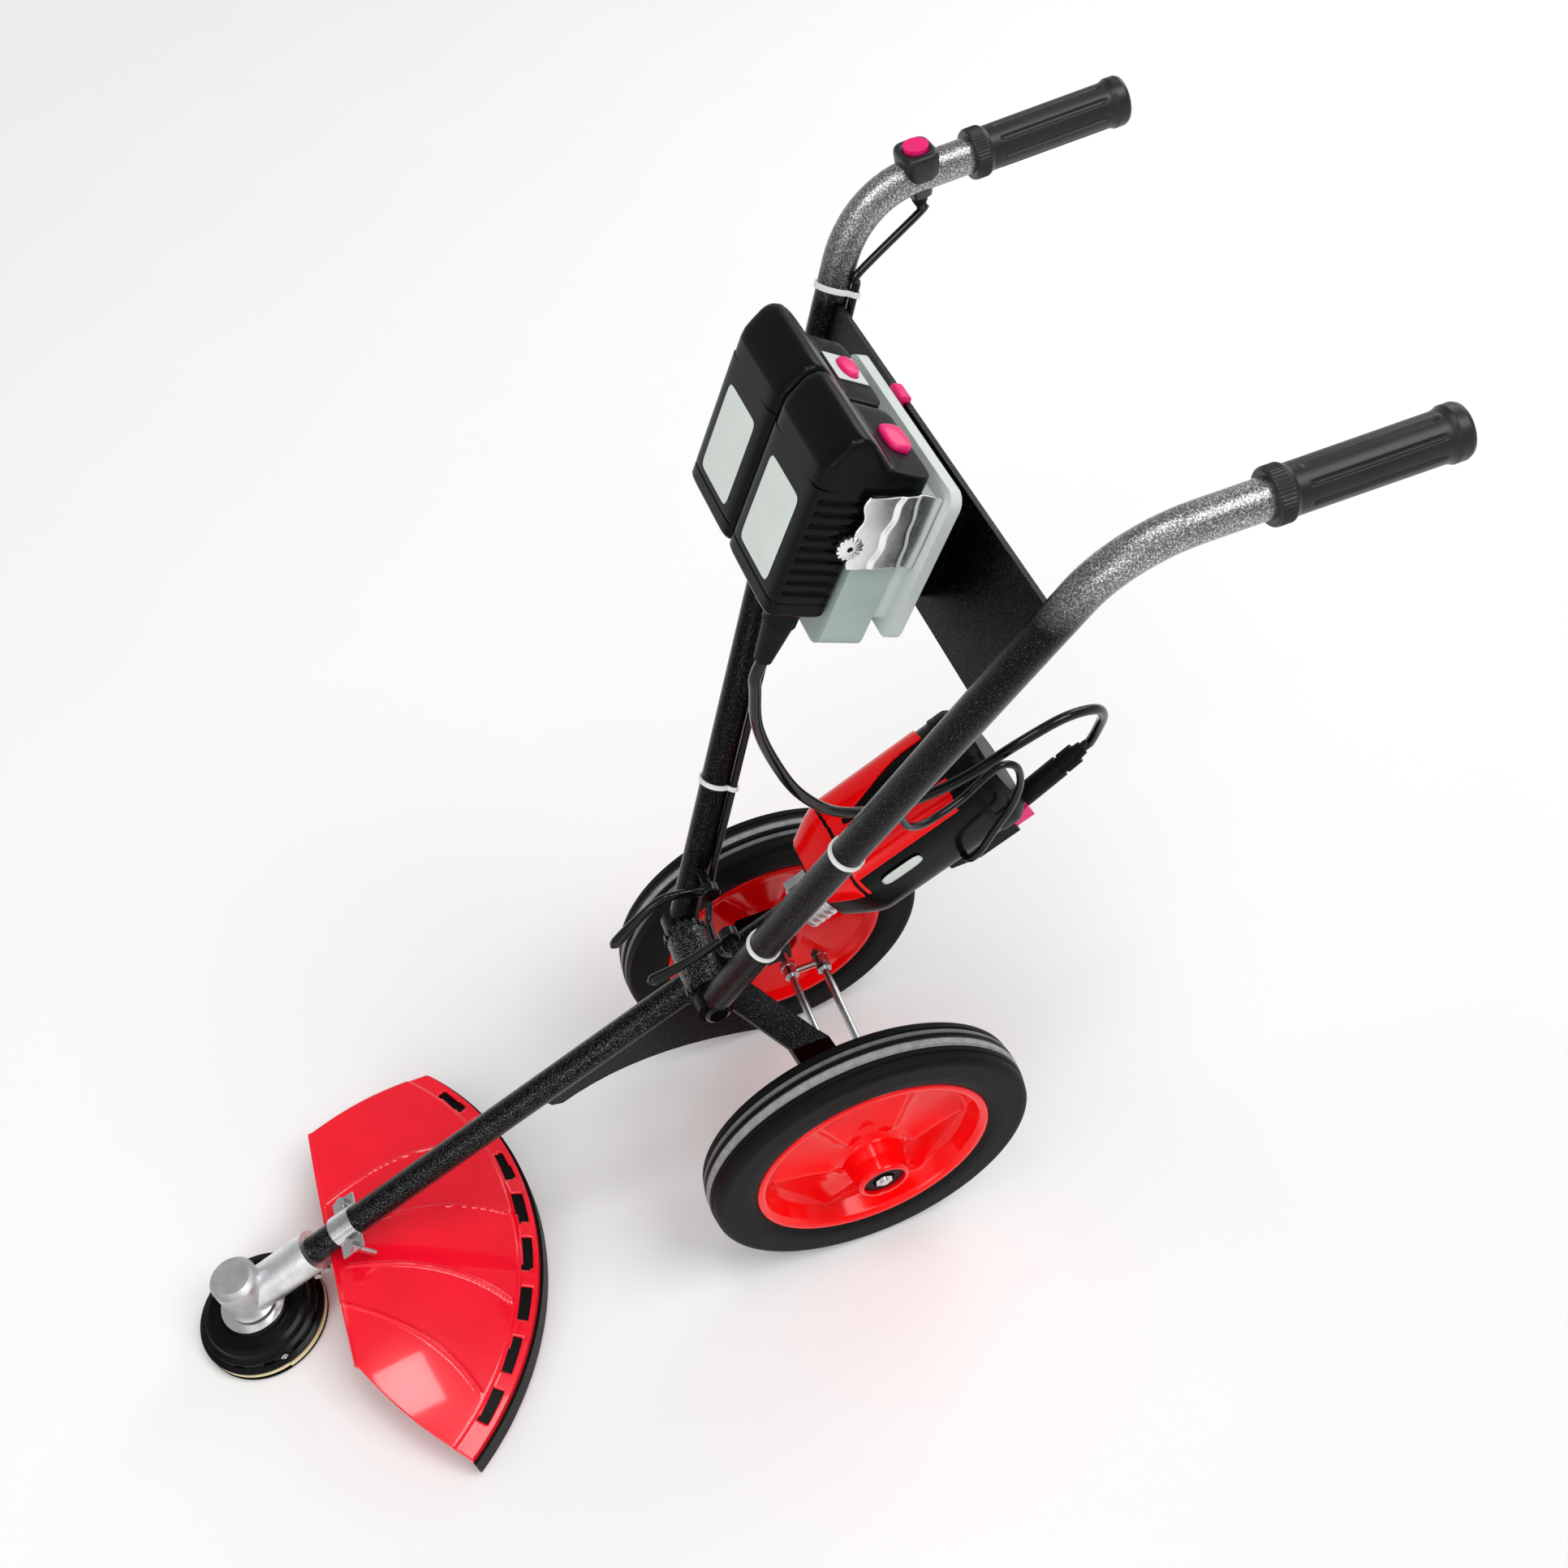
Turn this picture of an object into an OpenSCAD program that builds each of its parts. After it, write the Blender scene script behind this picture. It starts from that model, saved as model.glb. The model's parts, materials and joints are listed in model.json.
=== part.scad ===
// Wheeled string trimmer: a battery trimmer on two wheels, pushed by a folding handlebar.
// Modelled with the ground at z = 0, the front (cutting head) towards -Y and the operator's left at +X.

/* [Wheels] */
// Width of a tyre
wheel_w = 44; // [40:1:48]
// Diameter of the rim where the tyre sits
rim_d = 220; // [210:2:232]
// Height of a tyre from the rim to its tread
tyre_h = 40; // [36:1:44]
// Distance between the two wheels' middles
track = 252; // [244:2:270]
// Diameter of the hub boss
hub_d = 50; // [46:1:58]
// Raised ridges on each face of a rim
rim_ridges = 6; // [5:1:8]
// Diameter of the axle
axle_d = 8; // [7:0.5:10]
// Diameter of the tie rod behind the axle
tie_rod_d = 8; // [6:0.5:9]
// Distance from the axle back to the tie rod
tie_rod_back = 31.5; // [28:0.5:36]

/* [Frame] */
// Outside diameter of the drive tube
tube_d = 26; // [25:0.5:28]
// Wall of the drive tube
tube_wall = 1.5; // [1:0.1:2.2]
// Slope of the drive tube above the ground
tube_angle = 27; // [26:0.5:28]
// Distance from the axle forward to the cutting head's axis
head_reach = 573; // [560:1:585]
// Distance along the tube from the head's axis to the handle pivot
pivot_at = 549; // [540:1:556]
// Height of the handle pivot above the tube's axis
pivot_lift = 21; // [20:0.5:23]
// Outside diameter of the cross tube that carries the handles
cross_d = 36; // [34:0.5:40]
// Length of the cross tube
cross_w = 54; // [50:1:60]
// Thickness of the gusset plate under the drive tube
gusset_t = 5; // [4:0.5:7]
// Length of the gusset plate along the tube
gusset_len = 226; // [210:1:232]
// Depth of the gusset plate's lowest corner below the tube's axis
gusset_depth = 118; // [108:1:122]
// Thickness of the flat bars that carry the axle
leg_t = 5; // [4:0.5:6]
// Width of those flat bars
leg_w = 27; // [24:1:32]

/* [Handlebar] */
// Outside diameter of a handle tube
handle_d = 25; // [24:0.5:28]
// Wall of a handle tube
handle_wall = 1.5; // [1:0.1:2.5]
// Slope of the handlebar's lower part above the ground
handle_angle = 64.4; // [60:0.2:70]
// Length from the pivot to the corner of the bend
handle_len = 594; // [580:1:620]
// How far each tube splays out on that length
handle_splay = 152; // [140:1:165]
// Radius of the bend at a tube's centre line
bend_r = 75; // [60:1:90]
// Length from the corner of the bend to the end of the grip
handle_end = 206; // [196:1:220]
// Slope of the grips above the level
grip_rise = 2.8; // [0:0.2:6]
// Angle by which the grips point outwards
grip_toe = 1.8; // [0:0.2:4]
// Length of a grip
grip_len = 120; // [110:1:130]
// Diameter of a grip
grip_d = 31; // [29:0.5:34]
// Lower edge of the cross plate, measured up the handles from the pivot
plate_low = 440; // [432:1:446]
// Upper edge of the cross plate
plate_high = 529; // [520:1:535]
// Thickness of the cross plate
plate_t = 5; // [4:0.5:6]
// Diameter of the pivot bolt
pivot_d = 10; // [8:0.5:11]

/* [Battery] */
// Width of one battery pack
pack_w = 75; // [70:0.5:80]
// Height of one battery pack
pack_h = 132; // [124:1:140]
// Depth of one battery pack
pack_depth = 43; // [38:1:48]
// Travel of a release button
release_travel = 3; // [2:0.5:4]

/* [Motor] */
// Width of the motor housing
motor_w = 98; // [94:1:102]
// Height of the motor housing
motor_h = 86; // [82:1:90]
// Length of the motor housing
motor_len = 176; // [170:1:186]
// Thickness of the red cover over the housing
cover_t = 3; // [2:0.5:4]
// Diameter of the drive shaft
shaft_d = 8; // [7:0.5:9]
// Diameter of the plug on the power cable
plug_d = 19; // [17:0.5:21]

/* [Guard] */
// Radius of the guard's rim about the cutting head
guard_r = 268; // [255:1:269]
// Thickness of the guard
guard_t = 3; // [2:0.5:4]
// Distance from the head's axis back to the guard's front edge
guard_front = 86; // [80:1:95]
// Rectangular slots along the rim
guard_slots = 8; // [6:1:9]
// Height of the rubber skirt below the rim
skirt_h = 22; // [16:1:24]

/* [Cutting head] */
// Diameter of the cutting head
head_d = 118; // [110:1:124]
// Diameter of the bump knob
knob_d = 52; // [46:1:58]
// Travel of the bump knob
bump_travel = 6; // [4:0.5:6]
// Diameter of the trimmer line
line_d = 2.4; // [1.6:0.1:2.7]
// Turns of line around the head's groove
line_turns = 2; // [1:1:2]
// Height at which the drive shaft's axis meets the head's axis
gear_z = 56; // [55:0.5:58]

/* [Cables] */
// Diameter of the power cable
power_cable_d = 8.5; // [7:0.5:9]
// Diameter of the switch cable
switch_cable_d = 6; // [5:0.5:7]

/* [Fits] */
// Radial clearance of a shaft that turns in its bearing
run_fit = 0.05; // [0.02:0.01:0.08]
// Gap between pieces that move past each other
gap = 0.3; // [0.3:0.05:0.5]

/* [Hidden] */
$fn = 64;
// A tube's straights run on into its bend by join, and the bend is a hair slimmer, so that they fuse cleanly
join = 0.5;
bend_slim = 0.02;

// Wheels and axle
wheel_r = rim_d / 2 + tyre_h;
axle_z = wheel_r;
wheel_x = track / 2;
rim_lip = 6;
rim_half_w = wheel_w / 2 - 2;
web_half = 5;
ridge_half = 9;
hub_half = wheel_w / 2 + 2;
hub_out = wheel_w / 2 + 20;
hub_recess = 8;
hub_wall = 12;
axle_nut_h = 6.5;
axle_nut_across = axle_d * 1.85;
axle_nut_x = wheel_x + hub_out - hub_recess + gap;
axle_half = axle_nut_x + axle_nut_h + 2;
leg_x = wheel_x - hub_half - 4.5 - leg_t;
link_x = leg_x - 26;
tie_rod_half = link_x + 14;
link_eye = 3;

// Drive tube: distances along it from the head's axis
tube_r = tube_d / 2;
tube_start = 62;
sleeve_end = 84;
guard_clamp_at = 127;
gusset_end = pivot_at + 26;
coupling_at = 646;
coupling_len = 30;
coupling_ear = 16;
tube_end = coupling_at + coupling_len - 8;
motor_at = coupling_at + coupling_len;
motor_end = motor_at + motor_len;
tube_dir = [0, cos(tube_angle), sin(tube_angle)];
tube_up = [0, -sin(tube_angle), cos(tube_angle)];
gear_centre = [0, -head_reach, gear_z];
pivot = gear_centre + pivot_at * tube_dir + pivot_lift * tube_up;

// Cross tube, collars and knuckles along X
cross_half = cross_w / 2;
collar_t = 5.7;
collar_d = cross_d + 3;
collar_teeth = 18;
bush_len = 10;
cross_wall = 3;
knuckle_in = cross_half + collar_t + gap;
knuckle_w = 18;
knuckle_d = cross_d - 4;
knuckle_mid = knuckle_in + knuckle_w / 2;
pivot_cap_d = pivot_d * 2.2;
pivot_cap_h = 6;

// Handle tubes, for the operator's left side
handle_r = handle_d / 2;
up_handle = [0, cos(handle_angle), sin(handle_angle)];
off_plate = [0, -sin(handle_angle), cos(handle_angle)];
function on_handle(x, h, s) = pivot + [x, 0, 0] + h * off_plate + s * up_handle;
function unit(v) = v / norm(v);
handle_foot = on_handle(knuckle_mid, 0, 0);
handle_corner = on_handle(knuckle_mid + handle_splay, 0, handle_len);
low_dir = unit(handle_corner - handle_foot);
grip_dir = [sin(grip_toe), cos(grip_toe) * cos(grip_rise), cos(grip_toe) * sin(grip_rise)];
handle_tip = handle_corner + handle_end * grip_dir;
bend_angle = acos(low_dir * grip_dir);
bend_reach = bend_r * tan(bend_angle / 2);
grip_start = handle_end - grip_len;
grip_cap = 5;
splay = handle_splay / handle_len;
splay_angle = atan(splay);
function tube_x(s) = knuckle_mid + splay * s;

// The origin lies below the middle of the whole part, so the axle stands behind it
front_reach = head_reach + head_d / 2;
rear_reach = handle_tip.y + (grip_d + 3) / 2 * sqrt(1 - grip_dir.y * grip_dir.y);
axle_y = (front_reach - rear_reach) / 2;

// Lock levers on the handles
lever_t = 9;
lever_x = cross_half - 3;
lever_pin_d = 8;
lever_eye_d = 17;
lever_bar = 10;
// Eye, bow and tip of each lever: distance off the handles' plane and height above the pivot
lever_left_line = [[0, 63], [23, 38], [56, 10]];
lever_right_line = [[0, 63], [43, 55], [70, -2]];

// Switch on the right handle, measured from the corner of the bend
switch_at = bend_reach - 11;
switch_len = 27;
switch_w = 31;
switch_rise = 7;
switch_button_d = 18;
switch_travel = 2.5;
switch_floor = handle_r + 1;
boot_len = 8;

// Battery stack: heights off the cross plate
bracket_top = 27;
cradle_top = 35;
spacer_top = 46;
box_top = 77;
pack_low = plate_low;
box_x = 3;
box_w = 150;
base_len = pack_h - 18;
side_x = box_x + box_w / 2;
side_t = 4;
pack_face = box_top + gap + pack_depth;
pack_gap = 1;
pack_bevel = 8;
pack_mid = (pack_gap + pack_w) / 2;
pack_rail = 4;
box_low = pack_low - 22;
box_high = box_low + 116;
latch_back = spacer_top - 2;
latch_low = pack_low + 96;
latch_top = pack_low + 109;
release_h = latch_back + 13;
release_depth = 7;
release_rise = 4;
gland_x = 57;
gland_h = 97;
gland_low = 391;

// Motor, with its sizes measured in the drive tube's own directions
motor_round = 24;
motor_wall = 4;
motor_drop = 26;
motor_mid = motor_drop - motor_h / 2;
bulkhead = 22;
stator_d = 2 * motor_drop - 6;
rotor_d = 26;
stator_at = motor_at + 50;
stator_len = 64;
bearing_d = 26;
rear_cap_len = 46;
adapter_at = motor_at + 92;
adapter_end = motor_end - 20;
adapter_w = 62;
adapter_top = 16;
adapter_drop = 51;
plug_drop = 39.5;
plug_x = 12;
plug_tilt = 7.5;
plug_body = 58;
plug_neck = 3;
plug_collar = 14;
plug_len = plug_body + plug_neck + plug_collar + 7;
plug_seat = 5;
plug_base = gear_centre + adapter_end * tube_dir - plug_drop * tube_up + [plug_x, 0, 0];
plug_dir = [0, cos(tube_angle + plug_tilt), sin(tube_angle + plug_tilt)];
function plug_end(past) = plug_base + (plug_len + past) * plug_dir;
button_x = 22.8;
button_w = 6;
button_h = 15;
button_drop = 29;
button_len = 26;
button_out = 18;
button_travel = 3;

// Gear case and bevel gears
pinion_teeth = 14;
gear_teeth = 19;
gear_r = 14;
shaft_angle = 90 - tube_angle;
pinion_cone = atan2(sin(shaft_angle), gear_teeth / pinion_teeth + cos(shaft_angle));
gear_cone = shaft_angle - pinion_cone;
cone_len = gear_r / sin(gear_cone);
tooth_len = 5;
tooth_w = 0.9;
tooth_tip = 0.45;
tooth_foot = 0.8;
root_drop = 1.3;
spindle_d = 10;
spindle_bearing_d = 28;
top_bearing_d = 22;
case_d = 43;
case_low = gear_z - 10;
case_top = gear_z + 40;
case_cap = 6;
case_cap_d = 34;
sleeve_d = tube_d + 13;
cavity_d = 35;
pinion_bore = 24;

// Cutting head, from the ground up
cover_low = 2;
groove_low = 4;
line_pitch = line_d + 0.6;
groove_high = groove_low + 2 * gap + line_d + line_turns * line_pitch;
groove_r = head_d / 2 - 3.4;
line_slack = 0.6;
line_r = groove_r + line_slack + line_d / 2;
dome_high = 36;
head_high = 40;
cavity_r = head_d / 2 - 14;
cavity_high = 33;
spool_r = cavity_r - 2;
spring_wire = 1.2;
spring_r = 12;
spring_turns = 3;
spring_spare = 1.4;
spool_low = groove_low + 1 + gap;
spool_high = cavity_high - bump_travel - spring_turns * spring_wire - spring_spare;
knob_r = knob_d / 2;
flange_d = 60;
eyelet_d = 5;
eyelet_z = 22;

// Guard, revolved about the head's axis
guard_high = 84;
guard_fall = 44;
guard_in = 70;
guard_lip = 18;
guard_front_left = 111;
guard_front_right = -132;
guard_left = guard_r * [0.806, 0.586];
guard_right = guard_r * [-0.657, 0.784];
guard_steps = 9;
guard_ribs = [50, 70, 90, 110, 126];
rib_w = 3;
rib_h = 1.2;
bracket_half = 28;
bracket_len = 30;
bracket_drop = tube_r + 10;
guard_bolt_x = 22;
guard_bolt_d = 6;
strap_t = 2.2;
function guard_z(r) = guard_high - guard_fall * pow(max(0, r - guard_in) / (guard_r - guard_in), 1.6);

// Route of the power cable from its plug to the gland on the left battery pack
power_route = [
    [16, 264, 468], [24, 263, 494], [31, 250, 514], [37, 220, 524], [40, 180, 516], [42, 140, 503],
    [42, 100, 496], [42, 62, 500], [44, 28, 520], [47, 2, 560], [50, -14, 610], [54, -22, 655],
    [56.5, -20, 692]
];
// Route of the switch cable's slack loop beside the motor
loop_route = [
    [94.5, 46, 577.5], [91.5, 56, 573.5], [88.5, 62.5, 560], [86, 66, 541], [83, 73, 523], [77, 89, 512],
    [67, 120, 510], [60, 145, 518], [58, 160, 522], [58, 172, 513],
    [58, 175, 491], [58.5, 168, 468], [60.5, 153, 448], [63, 138.5, 429.5]
];
loop_plug = [for (p = [[10.8, 131.9, 420], [5, 130.1, 417.2], [gap, 130, 417]]) [motor_w / 2, 0, 0] + p];

// Cables held on the handlebar
cable_off = handle_r + 0.6 + switch_cable_d / 2;
cable_turn = -40;
function beside_tube(side, s) = on_handle(
    side * (tube_x(s) - cable_off * cos(cable_turn) * cos(splay_angle)),
    cable_off * sin(cable_turn), s + cable_off * cos(cable_turn) * sin(splay_angle));
grip_up = cross(grip_dir, unit(cross([0, 0, 1], grip_dir)));
switch_boot = handle_corner + (switch_at + switch_len / 2) * grip_dir - (handle_r + 3 + boot_len) * grip_up;
function boot_mouth(past) = let (p = switch_boot - past * grip_up) [-p.x, p.y, p.z];
loop_start_at = 262;
switch_path = concat(
    [for (past = [gap, 3, 6]) boot_mouth(past)],
    [for (s = [548, 540, 520, 480, 300, 120, 66]) beside_tube(-1, s)],
    [on_handle(-24, -8, 36), on_handle(-9, -6, 31), on_handle(9, -6, 31), on_handle(24, -8, 36)],
    [for (s = [66, 90, 120, 200, loop_start_at]) beside_tube(1, s)]);

// A smooth path through hand-chosen points, with n steps between neighbours
function bezier(a, b, c, d, t) =
    pow(1 - t, 3) * a + 3 * pow(1 - t, 2) * t * b + 3 * (1 - t) * t * t * c + pow(t, 3) * d;
function slope_at(p, i) = (p[min(i + 1, len(p) - 1)] - p[max(i - 1, 0)]) / 2;
function smooth(p, n) = concat(
    [for (i = [0 : len(p) - 2], k = [0 : n - 1])
        bezier(p[i], p[i] + slope_at(p, i) / 3, p[i + 1] - slope_at(p, i + 1) / 3, p[i + 1], k / n)],
    [p[len(p) - 1]]);

// Directions along a path, and one side direction carried along it without twisting
function headings(p) = [for (i = [0 : len(p) - 1]) unit(p[min(i + 1, len(p) - 1)] - p[max(i - 1, 0)])];
function square_to(v, t) = unit(v - (v * t) * t);
function carried(d) =
    [for (i = 0, u = square_to([0.31, 0.27, 0.91], d[0]); i < len(d);
          i = i + 1, u = square_to(u, d[min(i, len(d) - 1)])) u];

// Least room between the turns of a wound path, measured between points at least apart steps from each other
function least_gap(p, thick, apart) =
    min([for (i = [0 : len(p) - 1 - apart], j = [i + apart : len(p) - 1]) norm(p[i] - p[j])]) - thick;

// A round tube along a path, closed at both ends
module swept(path, r, sides) {
    d = headings(path);
    u = carried(d);
    last = len(path) - 1;
    rim = [for (i = [0 : last], j = [0 : sides - 1])
        path[i] + r * (cos(360 * j / sides) * u[i] + sin(360 * j / sides) * cross(d[i], u[i]))];
    walls = [for (i = [0 : last - 1], j = [0 : sides - 1])
        let (a = i * sides + j, b = i * sides + (j + 1) % sides)
        each [[a, a + sides, b + sides], [a, b + sides, b]]];
    ends = [for (j = [1 : sides - 2])
        each [[0, j, j + 1], [last * sides, last * sides + j + 1, last * sides + j]]];
    polyhedron(rim, concat(walls, ends));
}

// Places children with local z along zdir and local x along xdir
module oriented(at, zdir, xdir) {
    y = cross(zdir, xdir);
    multmatrix([
        [xdir.x, y.x, zdir.x, at.x],
        [xdir.y, y.y, zdir.y, at.y],
        [xdir.z, y.z, zdir.z, at.z]
    ]) children();
}

// Local z runs up the drive tube from the head's axis, local y points away from its underside
module along_tube(t) translate(gear_centre + t * tube_dir) rotate([tube_angle - 90, 0, 0]) children();
module across_tube(t, low, high) along_tube(t) rotate([90, 0, 90]) translate([0, 0, low])
    linear_extrude(high - low) children();
module drive_tube_solid() along_tube(0) cylinder(h = tube_end + 40, d = tube_d);

// Local z runs up the handles, local -y points to the front
module handle_frame() translate(pivot) rotate([handle_angle - 90, 0, 0]) children();
// Outlines in x and height up the handles, extruded from one distance off the plate to another
module off_handle(low, high) handle_frame() translate([0, -low, 0]) rotate([90, 0, 0])
    linear_extrude(high - low) children();
// Outlines in distance off the plate and height up the handles, extruded across the handlebar
module beside_handle(low, high) handle_frame() translate([low, 0, 0]) rotate([90, 0, 90])
    linear_extrude(high - low) mirror([1, 0]) children();

// Local z runs up a left handle tube, local x points to the other handle, local y to the front
module on_tube(s) handle_frame()
    oriented([tube_x(s), 0, s], [sin(splay_angle), 0, cos(splay_angle)],
             [-cos(splay_angle), 0, sin(splay_angle)])
    children();
// Local z runs along the left grip, local y points up
module along_grip(t)
    oriented(handle_corner + t * grip_dir, grip_dir, unit(cross([0, 0, 1], grip_dir))) children();

module on_right() mirror([1, 0, 0]) children();
module both_sides() {
    children();
    on_right() children();
}
module along_x(low, high, d) translate([low, 0, 0]) rotate([0, 90, 0]) cylinder(h = high - low, d = d);

module rounded(w, h, r) {
    square([w - 2 * r, h], center = true);
    square([w, h - 2 * r], center = true);
    for (x = [-1, 1], y = [-1, 1]) translate([x * (w / 2 - r), y * (h / 2 - r)]) circle(r);
}
// A strip of width w that follows the points p, with its corners mitred
function turn(v) = [-v.y, v.x];
function strip_edge(p, w) = [for (i = [0 : len(p) - 1])
    let (a = turn(unit(p[max(i, 1)] - p[max(i, 1) - 1])),
         b = turn(unit(p[min(i + 1, len(p) - 1)] - p[min(i, len(p) - 2)])))
    p[i] + w / 2 * (a + b) / (1 + a * b)];
module strip(p, w) polygon(concat(strip_edge(p, w), [for (i = [len(p) - 1 : -1 : 0]) strip_edge(p, -w)[i]]));
module bar2d(a, b, w) {
    angle = atan2(b.y - a.y, b.x - a.x);
    translate(a) rotate(angle) translate([0, -w / 2]) square([norm(b - a), w]);
}

// Wheels, modelled about their own middle with the outside face towards +X
module at_wheel() translate([wheel_x, 0, axle_z]) children();
module about_x() rotate([0, 90, 0]) children();

module tyre_shape() {
    tread_groove = 3;
    groove_depth = 2;
    shoulder = min(15, 0.375 * tyre_h);
    bead = 9;
    about_x() rotate_extrude($fn = 128) difference() {
        union() {
            translate([(rim_d / 2 + wheel_r) / 2, 0]) rounded(tyre_h, wheel_w, shoulder);
            translate([rim_d / 2, -wheel_w / 2 + bead / 2]) square([0.6 * tyre_h, wheel_w - bead]);
        }
        for (y = [-0.3, -0.1, 0.1, 0.3])
            translate([wheel_r - groove_depth, y * wheel_w * 0.72 - tread_groove / 2])
                square([2 * groove_depth, tread_groove]);
    }
}
module rim_shape() {
    slope = 7;
    spoke_out = rim_d / 2 - rim_lip - 3;
    spoke_in = hub_d / 2 - 2;
    about_x() difference() {
        union() {
            rotate_extrude($fn = 128) polygon([
                [axle_d, -web_half], [rim_d / 2 - rim_lip - slope, -web_half],
                [rim_d / 2 - rim_lip, -rim_half_w + 2], [rim_d / 2 - 2, -rim_half_w - 2],
                [rim_d / 2, -rim_half_w], [rim_d / 2, rim_half_w],
                [rim_d / 2 - 2, rim_half_w + 2], [rim_d / 2 - rim_lip, rim_half_w - 2],
                [rim_d / 2 - rim_lip - slope, web_half], [axle_d, web_half]
            ]);
            translate([0, 0, -hub_half]) cylinder(h = hub_half + hub_out, d = hub_d);
            cylinder(h = 2 * ridge_half, d = hub_d + 16, center = true);
            for (k = [1 : rim_ridges]) rotate(360 * k / rim_ridges)
                linear_extrude(2 * ridge_half, center = true)
                    polygon([[spoke_in, -11], [spoke_out - 8, -6], [spoke_out, -14],
                             [spoke_out, 14], [spoke_out - 8, 6], [spoke_in, 11]]);
        }
        cylinder(h = 3 * hub_out, d = axle_d + 2 * run_fit, center = true);
        translate([0, 0, hub_out - hub_recess]) cylinder(h = hub_recess + 1, d = hub_d - hub_wall);
        translate([0, 0, -hub_half - 1]) cylinder(h = hub_recess + 1, d = hub_d - hub_wall);
    }
}
module tyre_left() color("#1c1c1d") at_wheel() tyre_shape();
module tyre_right() color("#1c1c1d") on_right() at_wheel() tyre_shape();
module rim_left() color("#e01020") at_wheel() rim_shape();
module rim_right() color("#e01020") on_right() at_wheel() rim_shape();

module axle() color("silver") translate([0, 0, axle_z]) along_x(-axle_half, axle_half, axle_d);
module tie_rod() color("silver") {
    translate([0, tie_rod_back, axle_z]) along_x(-tie_rod_half, tie_rod_half, tie_rod_d);
    both_sides() tie_link();
}
module tie_link() translate([link_x, 0, axle_z]) rotate([0, 90, 0]) difference() {
    union() {
        cylinder(h = 10, d = axle_d + 2 * link_eye, center = true);
        translate([0, tie_rod_back, 0]) cylinder(h = 10, d = tie_rod_d + 2 * link_eye, center = true);
        rotate([-90, 0, 0]) cylinder(h = tie_rod_back, d = 7);
    }
    cylinder(h = 20, d = axle_d, center = true);
}
module axle_spacer() translate([0, 0, axle_z]) difference() {
    along_x(leg_x + leg_t, wheel_x - hub_half + hub_recess - gap, axle_d + 5);
    along_x(leg_x, wheel_x, axle_d);
}
module nut(at_x, y, h, across, hole) translate([at_x, y, axle_z]) rotate([0, 90, 0]) difference() {
    cylinder(h = h, d = across / cos(30), $fn = 6);
    translate([0, 0, -1]) cylinder(h = h + 2, d = hole);
}
module axle_hardware() color("#d0d2d4") both_sides() {
    axle_spacer();
    nut(axle_nut_x, 0, axle_nut_h, axle_nut_across, axle_d);
    nut(link_x + 5, tie_rod_back, 5, tie_rod_d * 1.7, tie_rod_d);
    nut(link_x - 5 - 5, tie_rod_back, 5, tie_rod_d * 1.7, tie_rod_d);
    nut(link_x + 5, 0, 5, axle_nut_across, axle_d);
}

// Frame
module drive_tube() color("#2b2c2e") along_tube(tube_start) difference() {
    cylinder(h = tube_end - tube_start, d = tube_d);
    translate([0, 0, -1]) cylinder(h = tube_end, d = tube_d - 2 * tube_wall);
}
module sleeve_bushes() color("#d8d8d2") {
    for (t = [tube_start + 78, (tube_start + tube_end) / 2 - 15, tube_end - 68]) along_tube(t)
        ring(0, 30, tube_d - 2 * tube_wall, shaft_d + 2 * run_fit);
    translate(pivot) both_sides() rotate([0, 90, 0])
        ring(cross_half - bush_len, cross_half, cross_d - 2 * cross_wall, pivot_d + 2 * run_fit);
}
module gusset_plate() {
    steps = 10;
    front = gusset_end - gusset_len;
    reach = gusset_len * 0.774;
    lip = tube_r + 20;
    lower = [for (k = [0 : steps])
        [lip + (gusset_depth - lip) * pow(k / steps, 2.2), front + 7 + (reach - 7) * k / steps]];
    color("#2b2c2e") difference() {
        across_tube(0, -gusset_t / 2, gusset_t / 2)
            polygon(concat([[0, gusset_end], [0, front], [lip - 7, front]], lower));
        drive_tube_solid();
    }
}
// Bars folded from flat strip: their shape seen from the front, cut to their width seen from above
module axle_legs() {
    high = pivot.z - 47;
    mid = high - 23;
    knee = leg_x - 22;
    foot_x = leg_x + leg_t / 2;
    root_y = pivot.y + 18;
    lean = (-26 - root_y) / knee;
    clear = 2 * (abs(root_y) + leg_w);
    color("#2b2c2e") both_sides() difference() {
        intersection() {
            rotate([90, 0, 0]) linear_extrude(2 * clear, center = true)
                strip([[0, high], [knee, mid], [foot_x, axle_z + 40], [foot_x, axle_z - 16]], leg_t);
            translate([0, 0, axle_z - 50]) linear_extrude(high)
                strip([[-20, root_y - 20 * lean], [knee, -26], [leg_x + 2 * leg_t, 0]], leg_w);
        }
        translate([0, 0, axle_z]) along_x(0, leg_x + 2 * leg_t, axle_d);
        translate([gusset_t / 2 - clear, -clear, 0]) cube([clear, 2 * clear, 2 * high]);
    }
}
module cross_tube() color("#4a4b4d") {
    difference() {
        translate(pivot) along_x(-cross_half, cross_half, cross_d);
        translate(pivot) along_x(-cross_w, cross_w, cross_d - 2 * cross_wall);
        drive_tube_solid();
    }
    translate(pivot) both_sides() toothed_collar();
}
module toothed_collar() difference() {
    along_x(cross_half, cross_half + collar_t, collar_d);
    along_x(0, cross_w, pivot_d + 2);
    for (k = [1 : collar_teeth]) rotate([360 * k / collar_teeth, 0, 0])
        translate([cross_half - 1, -1.5, collar_d / 2 - 2]) cube([collar_t + 2, 3, 4]);
}

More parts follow.
